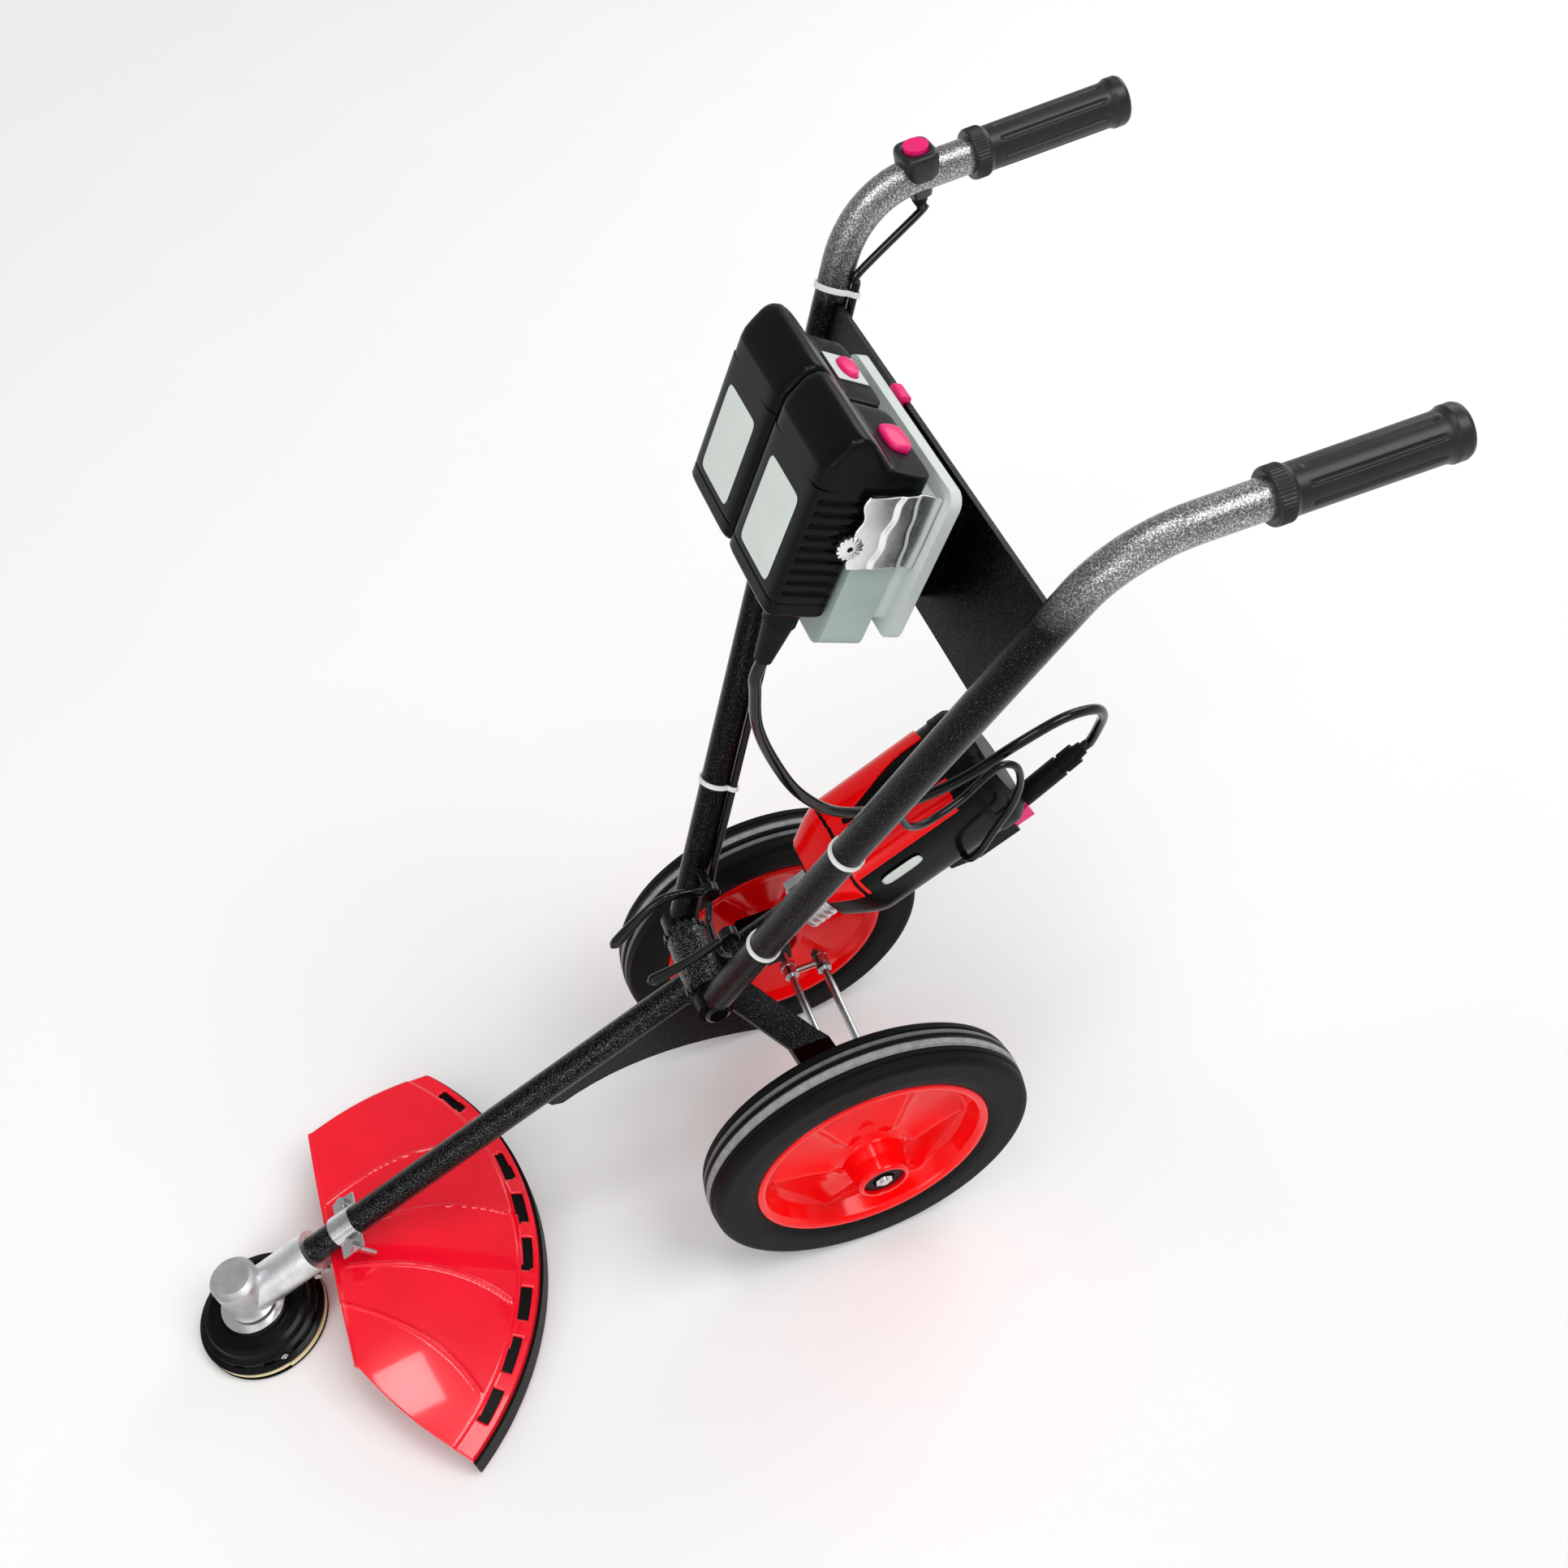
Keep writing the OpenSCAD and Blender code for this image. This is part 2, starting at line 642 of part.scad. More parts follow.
// Gear case and guard
module gear_case() color("#b9bcbe") difference() {
    union() {
        translate([0, -head_reach, case_low]) cylinder(h = case_top - case_low, d = case_d);
        translate([0, -head_reach, case_top]) cylinder(h = case_cap, d = case_cap_d);
        along_tube(0) cylinder(h = sleeve_end, d = sleeve_d);
        for (z = [sleeve_end - 8, sleeve_end - 20]) along_tube(z) translate([-8, sleeve_d / 2 - 4, -5])
            cube([16, 12, 10]);
    }
    translate([0, -head_reach, case_low - 1]) cylinder(h = 11 + 1, d = spindle_bearing_d);
    translate([0, -head_reach, case_low + 10]) cylinder(h = case_top - case_low - 18, d = cavity_d);
    translate([0, -head_reach, case_low]) cylinder(h = case_top - case_low - 2, d = top_bearing_d);
    along_tube(0) cylinder(h = tube_start, d = pinion_bore);
    along_tube(tube_start) cylinder(h = sleeve_end, d = tube_d);
    along_tube(tube_start) translate([-1, 0, 0]) cube([2, sleeve_d, sleeve_end]);
    for (z = [sleeve_end - 8, sleeve_end - 20]) along_tube(z) translate([-20, sleeve_d / 2 + 3, 0])
        rotate([0, 90, 0]) cylinder(h = 40, d = 4);
    translate([-case_d, -head_reach - case_d, 0]) cube([2 * case_d, 2 * case_d, case_low]);
}
// Cap screws through the clamps' ears, and the guard's two hexagon bolts
module cap_screw(grip) rotate([0, 90, 0]) {
    translate([0, 0, -grip]) cylinder(h = 2 * grip, d = 4);
    translate([0, 0, grip]) cylinder(h = 4, d = 7);
}
module clamp_bolts() color("#d0d2d4") {
    for (z = [sleeve_end - 8, sleeve_end - 20]) along_tube(z)
        translate([0, sleeve_d / 2 + 3, 0]) cap_screw(8);
    for (z = [9, 20]) along_tube(coupling_at + z) translate([0, 5 - tube_r - coupling_ear, 0]) cap_screw(9);
    for (x = [-1, 1]) along_tube(guard_clamp_at)
        translate([x * guard_bolt_x, 1 - strap_t, 0]) rotate([-90, 0, 0]) {
        cylinder(h = bracket_drop + 6, d = guard_bolt_d);
        translate([0, 0, -5]) cylinder(h = 5, d = 10 / cos(30), $fn = 6);
    }
}
module ring(low, high, outer, inner) translate([0, 0, low]) difference() {
    cylinder(h = high - low, d = outer);
    translate([0, 0, -1]) cylinder(h = high - low + 2, d = inner);
}
module shaft_bearings() color("#c8cacc") {
    along_tube(motor_at) ring(bulkhead - 10, bulkhead, bearing_d, shaft_d + 2 * run_fit);
    along_tube(motor_end) ring(-10, 0, stator_d, shaft_d + 2 * run_fit);
    along_tube(0) ring(30, 44, pinion_bore, shaft_d + 2 * run_fit);
    translate([0, -head_reach, 0]) {
        ring(case_low, case_low + 10, spindle_bearing_d, spindle_d + 2 * run_fit);
        ring(case_top - 8, case_top - 2, top_bearing_d, spindle_d + 2 * run_fit);
    }
}
module guard_below() translate([0, -head_reach, 0]) rotate_extrude($fn = 128) polygon(concat(
    [for (k = [0 : guard_steps]) let (r = guard_in + (guard_r - guard_in) * k / guard_steps)
        [r, guard_z(r) - guard_t]],
    [[guard_r, -60], [0, -60], [0, guard_high - guard_t], [guard_in, guard_high - guard_t]]));
module guard_outline() translate([0, -head_reach]) polygon([
    [guard_front_right, guard_front], [guard_front_left, guard_front], guard_left, 1.05 * guard_left,
    guard_r * [0.6, 1.12], guard_r * [0, 1.27], guard_r * [-0.45, 1.19], 1.05 * guard_right, guard_right]);
module guard_shell() translate([0, -head_reach, 0]) rotate_extrude($fn = 128) polygon(concat(
    [for (k = [0 : guard_steps]) let (r = guard_in + (guard_r - guard_in) * k / guard_steps) [r, guard_z(r)]],
    [[guard_r, guard_z(guard_r) - guard_lip], [guard_r - guard_t, guard_z(guard_r) - guard_lip]],
    [for (k = [guard_steps : -1 : 0]) let (r = guard_in + (guard_r - guard_in) * k / guard_steps)
        [min(r, guard_r - guard_t), guard_z(r) - guard_t]]));
module guard_rib(angle) translate([0, -head_reach, 0]) rotate(angle) rotate([90, 0, 0])
    linear_extrude(rib_w, center = true) polygon(concat(
        [for (k = [2 : guard_steps - 1]) let (r = guard_in + (guard_r - guard_in) * k / guard_steps)
            [r, guard_z(r) + rib_h]],
        [for (k = [guard_steps - 1 : -1 : 2]) let (r = guard_in + (guard_r - guard_in) * k / guard_steps)
            [r, guard_z(r) - guard_t / 2]]));
module guard() color("#d9122c") difference() {
    union() {
        intersection() {
            guard_shell();
            linear_extrude(guard_high + 10) guard_outline();
        }
        for (a = guard_ribs) guard_rib(a);
        difference() {
            along_tube(guard_clamp_at) translate([-bracket_half, 1, -bracket_len / 2])
                cube([2 * bracket_half, bracket_drop + 30, bracket_len]);
            guard_below();
            drive_tube_solid();
        }
    }
    for (k = [0 : guard_slots - 1]) translate([0, -head_reach, 0]) rotate(46 + 78 * k / (guard_slots - 1))
        translate([guard_r - 13, -14, 0]) cube([7, 28, guard_high]);
    for (x = [-1, 1]) along_tube(guard_clamp_at) translate([x * guard_bolt_x, 0, 0]) rotate([-90, 0, 0])
        cylinder(h = 80, d = guard_bolt_d);
}
module guard_skirt() color("#1c1c1d") intersection() {
    low = guard_z(guard_r) - guard_lip;
    translate([0, -head_reach, 0]) rotate_extrude($fn = 128)
        translate([guard_r, low - skirt_h + 8]) square([3, skirt_h]);
    linear_extrude(guard_high) guard_outline();
}
module guard_clamp() color("#c9cccf") difference() {
    along_tube(guard_clamp_at) intersection() {
        union() {
            cylinder(h = 24, d = tube_d + 2 * strap_t, center = true);
            translate([-bracket_half, 1 - strap_t, -12]) cube([2 * bracket_half, strap_t, 24]);
        }
        translate([-50, -50, -50]) cube([100, 51, 100]);
    }
    drive_tube_solid();
    for (x = [-1, 1]) along_tube(guard_clamp_at) translate([x * guard_bolt_x, -10, 0]) rotate([-90, 0, 0])
        cylinder(h = 80, d = guard_bolt_d);
}

// Motor unit
module motor_coupling() color("#b9bcbe") along_tube(coupling_at) difference() {
    union() {
        cylinder(h = coupling_len, d = tube_d + 14);
        for (k = [0 : 3]) translate([0, 0, 2 + 6 * k]) cylinder(h = 2.5, d = tube_d + 17);
        translate([-9, -tube_r - coupling_ear, 4]) cube([18, coupling_ear + 2, coupling_len - 8]);
    }
    translate([0, 0, -1]) cylinder(h = tube_end - coupling_at + 1, d = tube_d);
    cylinder(h = coupling_len + 1, d = tube_d - 2 * tube_wall);
    translate([-1, -tube_r - coupling_ear - 1, -1]) cube([2, coupling_ear + 1, coupling_len - 6]);
    for (z = [9, 20]) translate([-20, 5 - tube_r - coupling_ear, z]) rotate([0, 90, 0])
        cylinder(h = 40, d = 4);
}
module motor_section(grow) translate([0, motor_mid])
    rounded(motor_w + 2 * grow, motor_h + 2 * grow, motor_round + grow);
module motor_housing() color("#202022") along_tube(motor_at) difference() {
    intersection() {
        linear_extrude(motor_len) motor_section(0);
        translate([0, motor_mid, 0]) rotate_extrude() polygon([
            [0, 0], [motor_w * 0.4, 0], [motor_w * 0.75, 30], [motor_w * 0.75, motor_len], [0, motor_len]]);
    }
    translate([0, 0, bulkhead]) cylinder(h = motor_len, d = stator_d);
    translate([0, 0, bulkhead + motor_wall])
        linear_extrude(motor_len - bulkhead - 4 * motor_wall) difference() {
        motor_section(-motor_wall);
        circle(d = stator_d + 2 * motor_wall);
    }
    translate([0, 0, bulkhead - 10]) cylinder(h = 20, d = bearing_d);
    translate([0, 0, -1]) cylinder(h = bulkhead, d = tube_d - 2 * tube_wall);
}
module motor_cover() color("#e01020") along_tube(motor_at) difference() {
    linear_extrude(motor_len - rear_cap_len) motor_section(cover_t);
    translate([0, 0, -1]) linear_extrude(motor_len) motor_section(0);
    translate([0, motor_drop - 20, -20]) rotate([14, 0, 0]) translate([-motor_w, 0, -20])
        cube([2 * motor_w, motor_w, motor_len * 2]);
    rotate([-50, 0, 0]) translate([-motor_w, -motor_w * 2, -motor_w])
        cube([2 * motor_w, motor_w * 4, motor_w]);
    translate([-14, -motor_w, 62]) cube([28, motor_w, motor_len]);
}
module motor_rear_cap() color("#242426") along_tube(motor_end) difference() {
    translate([0, 0, -rear_cap_len]) intersection() {
        linear_extrude(rear_cap_len + 4) motor_section(cover_t);
        translate([0, motor_mid, 0]) rotate_extrude() polygon([
            [0, 0], [motor_w, 0], [motor_w, rear_cap_len - 22], [motor_w * 0.42, rear_cap_len + 4],
            [0, rear_cap_len + 4]]);
    }
    translate([0, 0, -rear_cap_len - 1]) linear_extrude(rear_cap_len + 1) motor_section(0);
    for (k = [-2 : 2]) rotate(k * 24) translate([-2.5, -motor_w, -rear_cap_len + 8]) cube([5, motor_w, 24]);
    translate([-motor_w, adapter_top - gap, adapter_at - motor_end - gap])
        cube([2 * motor_w, motor_w, motor_len]);
}
module motor_stator() color("#8c5a2c") along_tube(stator_at) difference() {
    union() {
        cylinder(h = stator_len, d = stator_d);
        translate([0, 0, -9]) cylinder(h = stator_len + 18, d = stator_d - 10);
    }
    translate([0, 0, -20]) cylinder(h = stator_len + 40, d = rotor_d + 1.2);
}
module battery_adapter() color("#202022") difference() {
    along_tube(adapter_at) intersection() {
        translate([0, (adapter_top + adapter_drop) / 2, 0]) linear_extrude(adapter_end - adapter_at)
            rounded(adapter_w, adapter_drop - adapter_top, 4);
        rotate([0, -90, 0]) translate([0, 0, -adapter_w]) linear_extrude(2 * adapter_w)
            polygon([[0, 0], [adapter_end, 0], [adapter_end - adapter_at, adapter_drop], [30, adapter_drop],
                     [0, adapter_drop - 14]]);
    }
    along_tube(motor_at) linear_extrude(motor_len) motor_section(0);
    plug_solid(plug_seat);
    along_tube(adapter_end)
        translate([button_x - gap, button_drop - gap, button_out - button_len - button_travel - gap])
            cube([button_w + 2 * gap, button_h + 2 * gap, button_len]);
}
module at_plug()
    along_tube(adapter_end) translate([plug_x, plug_drop, 0]) rotate([plug_tilt, 0, 0]) children();
module plug_solid(sunk) at_plug() translate([0, 0, -sunk]) cylinder(h = plug_body + sunk, d = plug_d);
module power_plug() color("#1c1c1d") {
    plug_solid(plug_seat);
    at_plug() {
        translate([0, 0, plug_body]) cylinder(h = plug_neck, d = plug_d - 4);
        translate([0, 0, plug_body + plug_neck]) difference() {
            cylinder(h = plug_collar, d = plug_d - 1);
            for (k = [1 : 12]) rotate(30 * k)
                translate([plug_d / 2 - 1, -1, -1]) cube([2, 2, plug_collar + 2]);
        }
        translate([0, 0, plug_body + plug_neck + plug_collar])
            cylinder(h = plug_len - plug_body - plug_neck - plug_collar,
                     d1 = plug_d - 6, d2 = power_cable_d + 3);
    }
}
module adapter_button() color("#e8206e") along_tube(adapter_end)
    translate([button_x, button_drop, button_out - button_len]) cube([button_w, button_h, button_len]);

// Drive line
module drive_shaft() color("silver") along_tube(20) cylinder(h = motor_end - 21, d = shaft_d);
module motor_rotor() color("#6a6c70") along_tube(stator_at) ring(2, stator_len - 2, rotor_d, shaft_d);
module bevel_tooth(cone) rotate([0, cone, 0])
    translate([-tooth_foot, -tooth_w / 2, cone_len - tooth_len])
        cube([tooth_foot + tooth_tip, tooth_w, tooth_len]);
// Cone below the teeth, with a hub behind it
module bevel_blank(cone, hub_r, hub_len) {
    far = cone_len * cos(cone);
    near = (cone_len - tooth_len) * cos(cone);
    wide = cone_len * sin(cone) - root_drop / 2 * cos(cone);
    slim = (cone_len - tooth_len) * sin(cone) - root_drop / 2 * cos(cone);
    sink = root_drop / 2 * sin(cone);
    rotate_extrude() polygon([
        [0, near + sink], [slim, near + sink], [wide, far + sink], [hub_r, far + sink + 2],
        [hub_r, far + hub_len], [0, far + hub_len]]);
}
module bevel_pinion() color("#909498") along_tube(0) difference() {
    union() {
        bevel_blank(pinion_cone, 7, 8);
        for (k = [1 : pinion_teeth]) rotate(360 * k / pinion_teeth - 90) bevel_tooth(pinion_cone);
    }
    translate([0, 0, 20]) cylinder(h = 40, d = shaft_d);
}
module bevel_gear() color("#909498") translate(gear_centre) difference() {
    union() {
        bevel_blank(gear_cone, 9, 8);
        for (k = [1 : gear_teeth]) rotate(360 * (k + 0.5) / gear_teeth + 90) bevel_tooth(gear_cone);
    }
    cylinder(h = 60, d = spindle_d);
}

// Cutting head
module at_head() translate([0, -head_reach, 0]) children();
module output_spindle() color("silver") at_head() translate([0, 0, cavity_high + gap])
    cylinder(h = case_top - 2 - cavity_high - gap, d = spindle_d);
module holding_flange() color("#e4e6e8") at_head() difference() {
    union() {
        translate([0, 0, head_high]) cylinder(h = 3, d = flange_d);
        translate([0, 0, head_high]) cylinder(h = case_low - head_high - gap, d = 24);
    }
    cylinder(h = 100, d = spindle_d);
}
module head_housing() color("#1a1a1c") at_head() head_dome();
module head_dome() difference() {
    rotate_extrude($fn = 96) polygon([
        [spindle_d / 2, cavity_high], [cavity_r, cavity_high], [cavity_r, groove_high],
        [head_d / 2 - 2, groove_high], [head_d / 2, groove_high + 1.5], [head_d / 2, 17],
        [head_d / 2 - 4, 19], [head_d / 2 - 5, 26],
        [head_d / 2 - 9, 28], [head_d / 2 - 11, 34], [head_d / 2 - 15, dome_high],
        [flange_d / 2 + 3, dome_high], [flange_d / 2 + 1, head_high], [spindle_d / 2, head_high]]);
    for (k = [1 : 12]) rotate(30 * k) translate([head_d / 2 - 6.5, -5, 19.6]) cube([12, 10, 5]);
    for (k = [0, 1]) rotate(180 * k + 15) translate([0, 0, eyelet_z]) rotate([0, 90, 0])
        cylinder(h = head_d, d = eyelet_d);
}
module head_cover() color("#1a1a1c") at_head() rotate_extrude($fn = 96) polygon([
    [knob_r + 0.6, cover_low + 1], [knob_r + 2, cover_low], [head_d / 2 - 1, cover_low],
    [head_d / 2, cover_low + 1], [head_d / 2, groove_low], [groove_r, groove_low],
    [groove_r, groove_high], [groove_r - 4, groove_high],
    [groove_r - 4, groove_low + 1], [knob_r + 0.6, groove_low + 1]]);
module trimmer_line() {
    rings = 24;
    start = groove_low + gap + line_d / 2;
    wound = [for (k = [0 : rings * line_turns]) let (a = 360 * k / rings + 15)
        [line_r * cos(a), line_r * sin(a), start + line_pitch * k / rings]];
    echo(trimmer_line_least_gap = line_turns < 2 ? "one turn" : least_gap(wound, line_d, rings / 2));
    color("#e8dfb8") at_head() swept(wound, line_d / 2, 6);
}
module bump_spring() {
    rings = 8;
    low = spool_high + gap + spring_wire / 2;
    high = cavity_high - gap - spring_wire / 2;
    coil = [for (k = [0 : rings * spring_turns]) let (a = 360 * k / rings)
        [spring_r * cos(a), spring_r * sin(a), low + (high - low) * k / rings / spring_turns]];
    echo(bump_spring_least_gap = least_gap(coil, spring_wire, rings / 2));
    color("silver") at_head() swept(coil, spring_wire / 2, 6);
}
module bump_spool() color("#1a1a1c") at_head() rotate_extrude() polygon([
    [0, 0], [knob_r - 5, 0], [knob_r - 1.5, 1.5], [knob_r, 5], [knob_r, spool_low], [spool_r, spool_low],
    [spool_r, spool_low + 2], [18, spool_low + 3], [18, spool_high - 3], [spool_r, spool_high - 2],
    [spool_r, spool_high], [0, spool_high]]);

// Handlebar
module bent_bar(d) {
    start = handle_corner - bend_reach * low_dir;
    inward = square_to(grip_dir, low_dir);
    oriented(handle_foot, low_dir, square_to([1, 0, 0], low_dir))
        cylinder(h = norm(start - handle_foot) + join, d = d);
    oriented(start + bend_r * inward, cross(-inward, low_dir), -inward)
        rotate_extrude(angle = bend_angle) translate([bend_r, 0]) circle(d = d - bend_slim);
    along_grip(bend_reach - join) cylinder(h = handle_end - grip_cap - bend_reach + join, d = d);
}
module handle_tube_shape() difference() {
    union() {
        difference() {
            bent_bar(handle_d);
            bent_bar(handle_d - 2 * handle_wall);
        }
        translate(pivot) along_x(knuckle_in, knuckle_in + knuckle_w, knuckle_d);
        lever_pin();
    }
    translate(pivot) along_x(0, cross_w * 2, pivot_d);
    translate(pivot) along_x(-cross_w, knuckle_in, knuckle_d + 4);
    translate(pivot) along_x(knuckle_in + knuckle_w, cross_w * 2, pivot_cap_d + 2 * gap);
}
module handle_tube_left() color("#3c3d3f") handle_tube_shape();
module handle_tube_right() color("#3c3d3f") on_right() handle_tube_shape();
module handle_plate() color("#2b2c2e") {
    cross_plate();
    off_handle(plate_t / 2, bracket_top) translate([3, (plate_low + plate_high) / 2]) difference() {
        rounded(126, 68, 6);
        rounded(120, 62, 3);
    }
}
module cross_plate() difference() {
    off_handle(-plate_t / 2, plate_t / 2) polygon([
        [-tube_x(plate_low), plate_low], [tube_x(plate_low), plate_low],
        [tube_x(plate_high), plate_high], [-tube_x(plate_high), plate_high]]);
    both_sides() bent_bar(handle_d);
}
module grip_shape() {
    flutes = 8;
    collar = 12;
    along_grip(grip_start) difference() {
        rotate_extrude() polygon([
            [0, 0], [grip_d / 2 + 1.5, 0], [grip_d / 2 + 1.5, collar], [grip_d / 2, collar + 3],
            [grip_d / 2, grip_len - collar - 3], [grip_d / 2 + 1.5, grip_len - collar],
            [grip_d / 2 + 1.5, grip_len - 2],
            [grip_d / 2 - 1, grip_len], [0, grip_len]]);
        translate([0, 0, -1]) cylinder(h = grip_len - grip_cap + 1, d = handle_d);
        for (k = [1 : flutes]) rotate(360 * k / flutes) translate([grip_d / 2 + 0.9, 0, collar + 6])
            cylinder(h = grip_len - 2 * collar - 12, d = 4);
    }
}
module grip_left() color("#1c1c1d") grip_shape();
module grip_right() color("#1c1c1d") on_right() grip_shape();
module pivot_bolt() color("#1c1c1d") translate(pivot) {
    along_x(-knuckle_in - knuckle_w, knuckle_in + knuckle_w, pivot_d);
    both_sides() translate([knuckle_in + knuckle_w, 0, 0]) rotate([0, 90, 0]) rotate_extrude()
        polygon([[0, 0], [pivot_cap_d / 2, 0], [pivot_cap_d / 2, pivot_cap_h - 2],
                 [pivot_cap_d / 2 - 3, pivot_cap_h], [0, pivot_cap_h]]);
}
module lever_pin() difference() {
    handle_frame() translate([lever_x - lever_t / 2 - 2, 0, lever_left_line[0].y]) rotate([0, 90, 0])
        cylinder(h = tube_x(lever_left_line[0].y) - lever_x, d = lever_pin_d);
    bent_bar(handle_d - handle_wall);
}
module lever_shape(line) beside_handle(lever_x - lever_t / 2, lever_x + lever_t / 2) difference() {
    union() {
        translate(line[0]) circle(d = lever_eye_d);
        for (k = [1, 2]) {
            bar2d(line[k - 1], line[k], lever_bar);
            translate(line[k]) circle(d = lever_bar);
        }
    }
    translate(line[0]) circle(d = lever_pin_d + 2 * run_fit);
}
module lock_lever_left() color("#161617") lever_shape(lever_left_line);
module lock_lever_right() color("#161617") on_right() lever_shape(lever_right_line);

// Switch on the right handle
module switch_housing() color("#1c1c1d") on_right() difference() {
    along_grip(switch_at) {
        translate([0, 0, switch_len / 2]) rotate([-90, 0, 0]) translate([0, 0, -handle_r - 3])
            linear_extrude(handle_d + 3 + switch_rise) rounded(switch_w, switch_len, 4);
        translate([0, -handle_r - 3, switch_len / 2]) rotate([90, 0, 0])
            cylinder(h = boot_len, d1 = 14, d2 = switch_cable_d + 2);
    }
    bent_bar(handle_d);
    along_grip(switch_at) translate([0, switch_floor, switch_len / 2]) rotate([-90, 0, 0])
        cylinder(h = 30, d = switch_button_d + 2 * gap);
}
module switch_button() color("#e8206e") on_right() along_grip(switch_at)
    translate([0, switch_floor + switch_travel + gap, switch_len / 2]) rotate([-90, 0, 0])
        cylinder(h = switch_rise - 1, d = switch_button_d);

// Cables on the handlebar, and their ties
module switch_cable() color("#151516") swept(smooth(switch_path, 2), switch_cable_d / 2, 8);
module tie_shape(s) on_tube(s) rotate(cable_turn) linear_extrude(4, center = true) difference() {
    union() {
        circle(handle_r + 1.6);
        translate([0, -switch_cable_d / 2 - 1.6]) square([cable_off, switch_cable_d + 3.2]);
        translate([cable_off, 0]) circle(switch_cable_d / 2 + 1.6);
    }
    circle(handle_r);
    translate([0, -switch_cable_d / 2 - 0.4]) square([cable_off, switch_cable_d + 0.8]);
    translate([cable_off, 0]) circle(switch_cable_d / 2 + 0.4);
}
module cable_ties() color("white") {
    for (s = [105, 252]) tie_shape(s);
    on_right() for (s = [140, plate_high + 4]) tie_shape(s);
}
module switch_cable_loop() color("#151516") swept(smooth(concat(
    [for (past = [2, 13]) beside_tube(1, loop_start_at + past)], loop_route, loop_plug), 2),
    switch_cable_d / 2, 8);

// Battery stack on the cross plate
module cradle_base() color("#c9cfcb") {
    off_handle(bracket_top, cradle_top)
        translate([box_x + 4, pack_low + 49]) rounded(box_w + 12, base_len, 10);
    off_handle(cradle_top, spacer_top)
        translate([box_x + 2, pack_low + 47]) rounded(box_w - 10, base_len - 19, 6);
}
module cradle_box() color("#b4c0b8") {
    off_handle(spacer_top, box_top)
        translate([box_x, (box_low + box_high) / 2]) rounded(box_w, box_high - box_low, 10);
    off_handle(box_top, box_top + 8) translate([-58, pack_low - 6]) square([44, 6 - gap]);
    for (x = [-pack_mid - 17, -pack_mid + 11]) off_handle(box_top, box_top + pack_rail)
        translate([x, pack_low + 6]) square([6, box_high - pack_low - 8]);
}
module pack_shape() intersection() {
    off_handle(latch_back, pack_face) translate([0, pack_low + pack_h / 2]) rounded(pack_w, pack_h, 10);
    beside_handle(-pack_w, pack_w) polygon([
        [box_top + gap, pack_low], [pack_face - 5, pack_low], [pack_face, pack_low + 5],
        [pack_face, pack_low + pack_h - 24], [pack_face - 14, pack_low + pack_h],
        [pack_face - 26, pack_low + pack_h], [box_top - 5, latch_top + 4], [latch_back, latch_top],
        [latch_back, latch_low], [box_top + gap, latch_low]]);
    handle_frame() translate([0, 0, pack_low - 1]) linear_extrude(pack_h + 2) mirror([0, 1]) polygon([
        [-pack_w / 2, 0], [pack_w / 2, 0], [pack_w / 2, pack_face - pack_bevel],
        [pack_w / 2 - pack_bevel, pack_face], [pack_bevel - pack_w / 2, pack_face],
        [-pack_w / 2, pack_face - pack_bevel]]);
}
module release_outline(w, d) rounded(w, d, d / 2 - 0.1);
module release_pocket(w, d) handle_frame()
    translate([0, -release_h, latch_top + 2 - release_depth - release_travel - gap])
        linear_extrude(60) release_outline(w + 2 * gap, d + 2 * gap);
module release_shape(w, d) handle_frame() translate([0, -release_h, latch_top + 2 - release_depth])
    linear_extrude(release_depth + release_rise) release_outline(w, d);
module battery_pack_left() color("#1d1f1e") translate([pack_mid, 0, 0]) difference() {
    pack_shape();
    release_pocket(26, 17);
    for (k = [0 : 6]) off_handle(box_top + 6, box_top + 28)
        translate([pack_w / 2 - 2, pack_low + 16 + 12 * k]) square([4, 2]);
}
module battery_pack_right() color("#1d1f1e") translate([-pack_mid, 0, 0]) difference() {
    pack_shape();
    release_pocket(22, 13);
    for (x = [-17, 11]) off_handle(box_top - 1, box_top + pack_rail + gap) translate([x - gap, pack_low - 1])
        square([6 + 2 * gap, 104 + gap]);
}
module release_button_left() color("#e8206e") translate([pack_mid, 0, 0]) release_shape(26, 17);
module release_button_right() color("#e8206e") translate([-pack_mid, 0, 0]) release_shape(22, 13);
module cable_gland() color("#161617") handle_frame() translate([gland_x, -gland_h, gland_low]) {
    cylinder(h = pack_low - gland_low - 16, d1 = power_cable_d + 4, d2 = 21);
    translate([0, 0, pack_low - gland_low - 16]) cylinder(h = 16, d = 23);
}
module cradle_side_bracket() color("#cfd3d4") beside_handle(side_x, side_x + side_t) polygon([
    [cradle_top, box_high - 50], [cradle_top, box_high + 6], [box_top + 22, box_high + 6],
    [box_top + 26, box_high - 14], [box_top + 20, box_high - 38], [box_top - 6, box_high - 46],
    [box_top - 10, box_high - 50]]);

module power_cable() color("#151516") swept(smooth(concat(
    [for (past = [gap, 4, 8]) plug_end(past)], power_route,
    [on_handle(gland_x, gland_h, gland_low - 16), on_handle(gland_x, gland_h, gland_low - 1.5)]), 2),
    power_cable_d / 2, 10);

module placed() translate([0, axle_y, 0]) children();

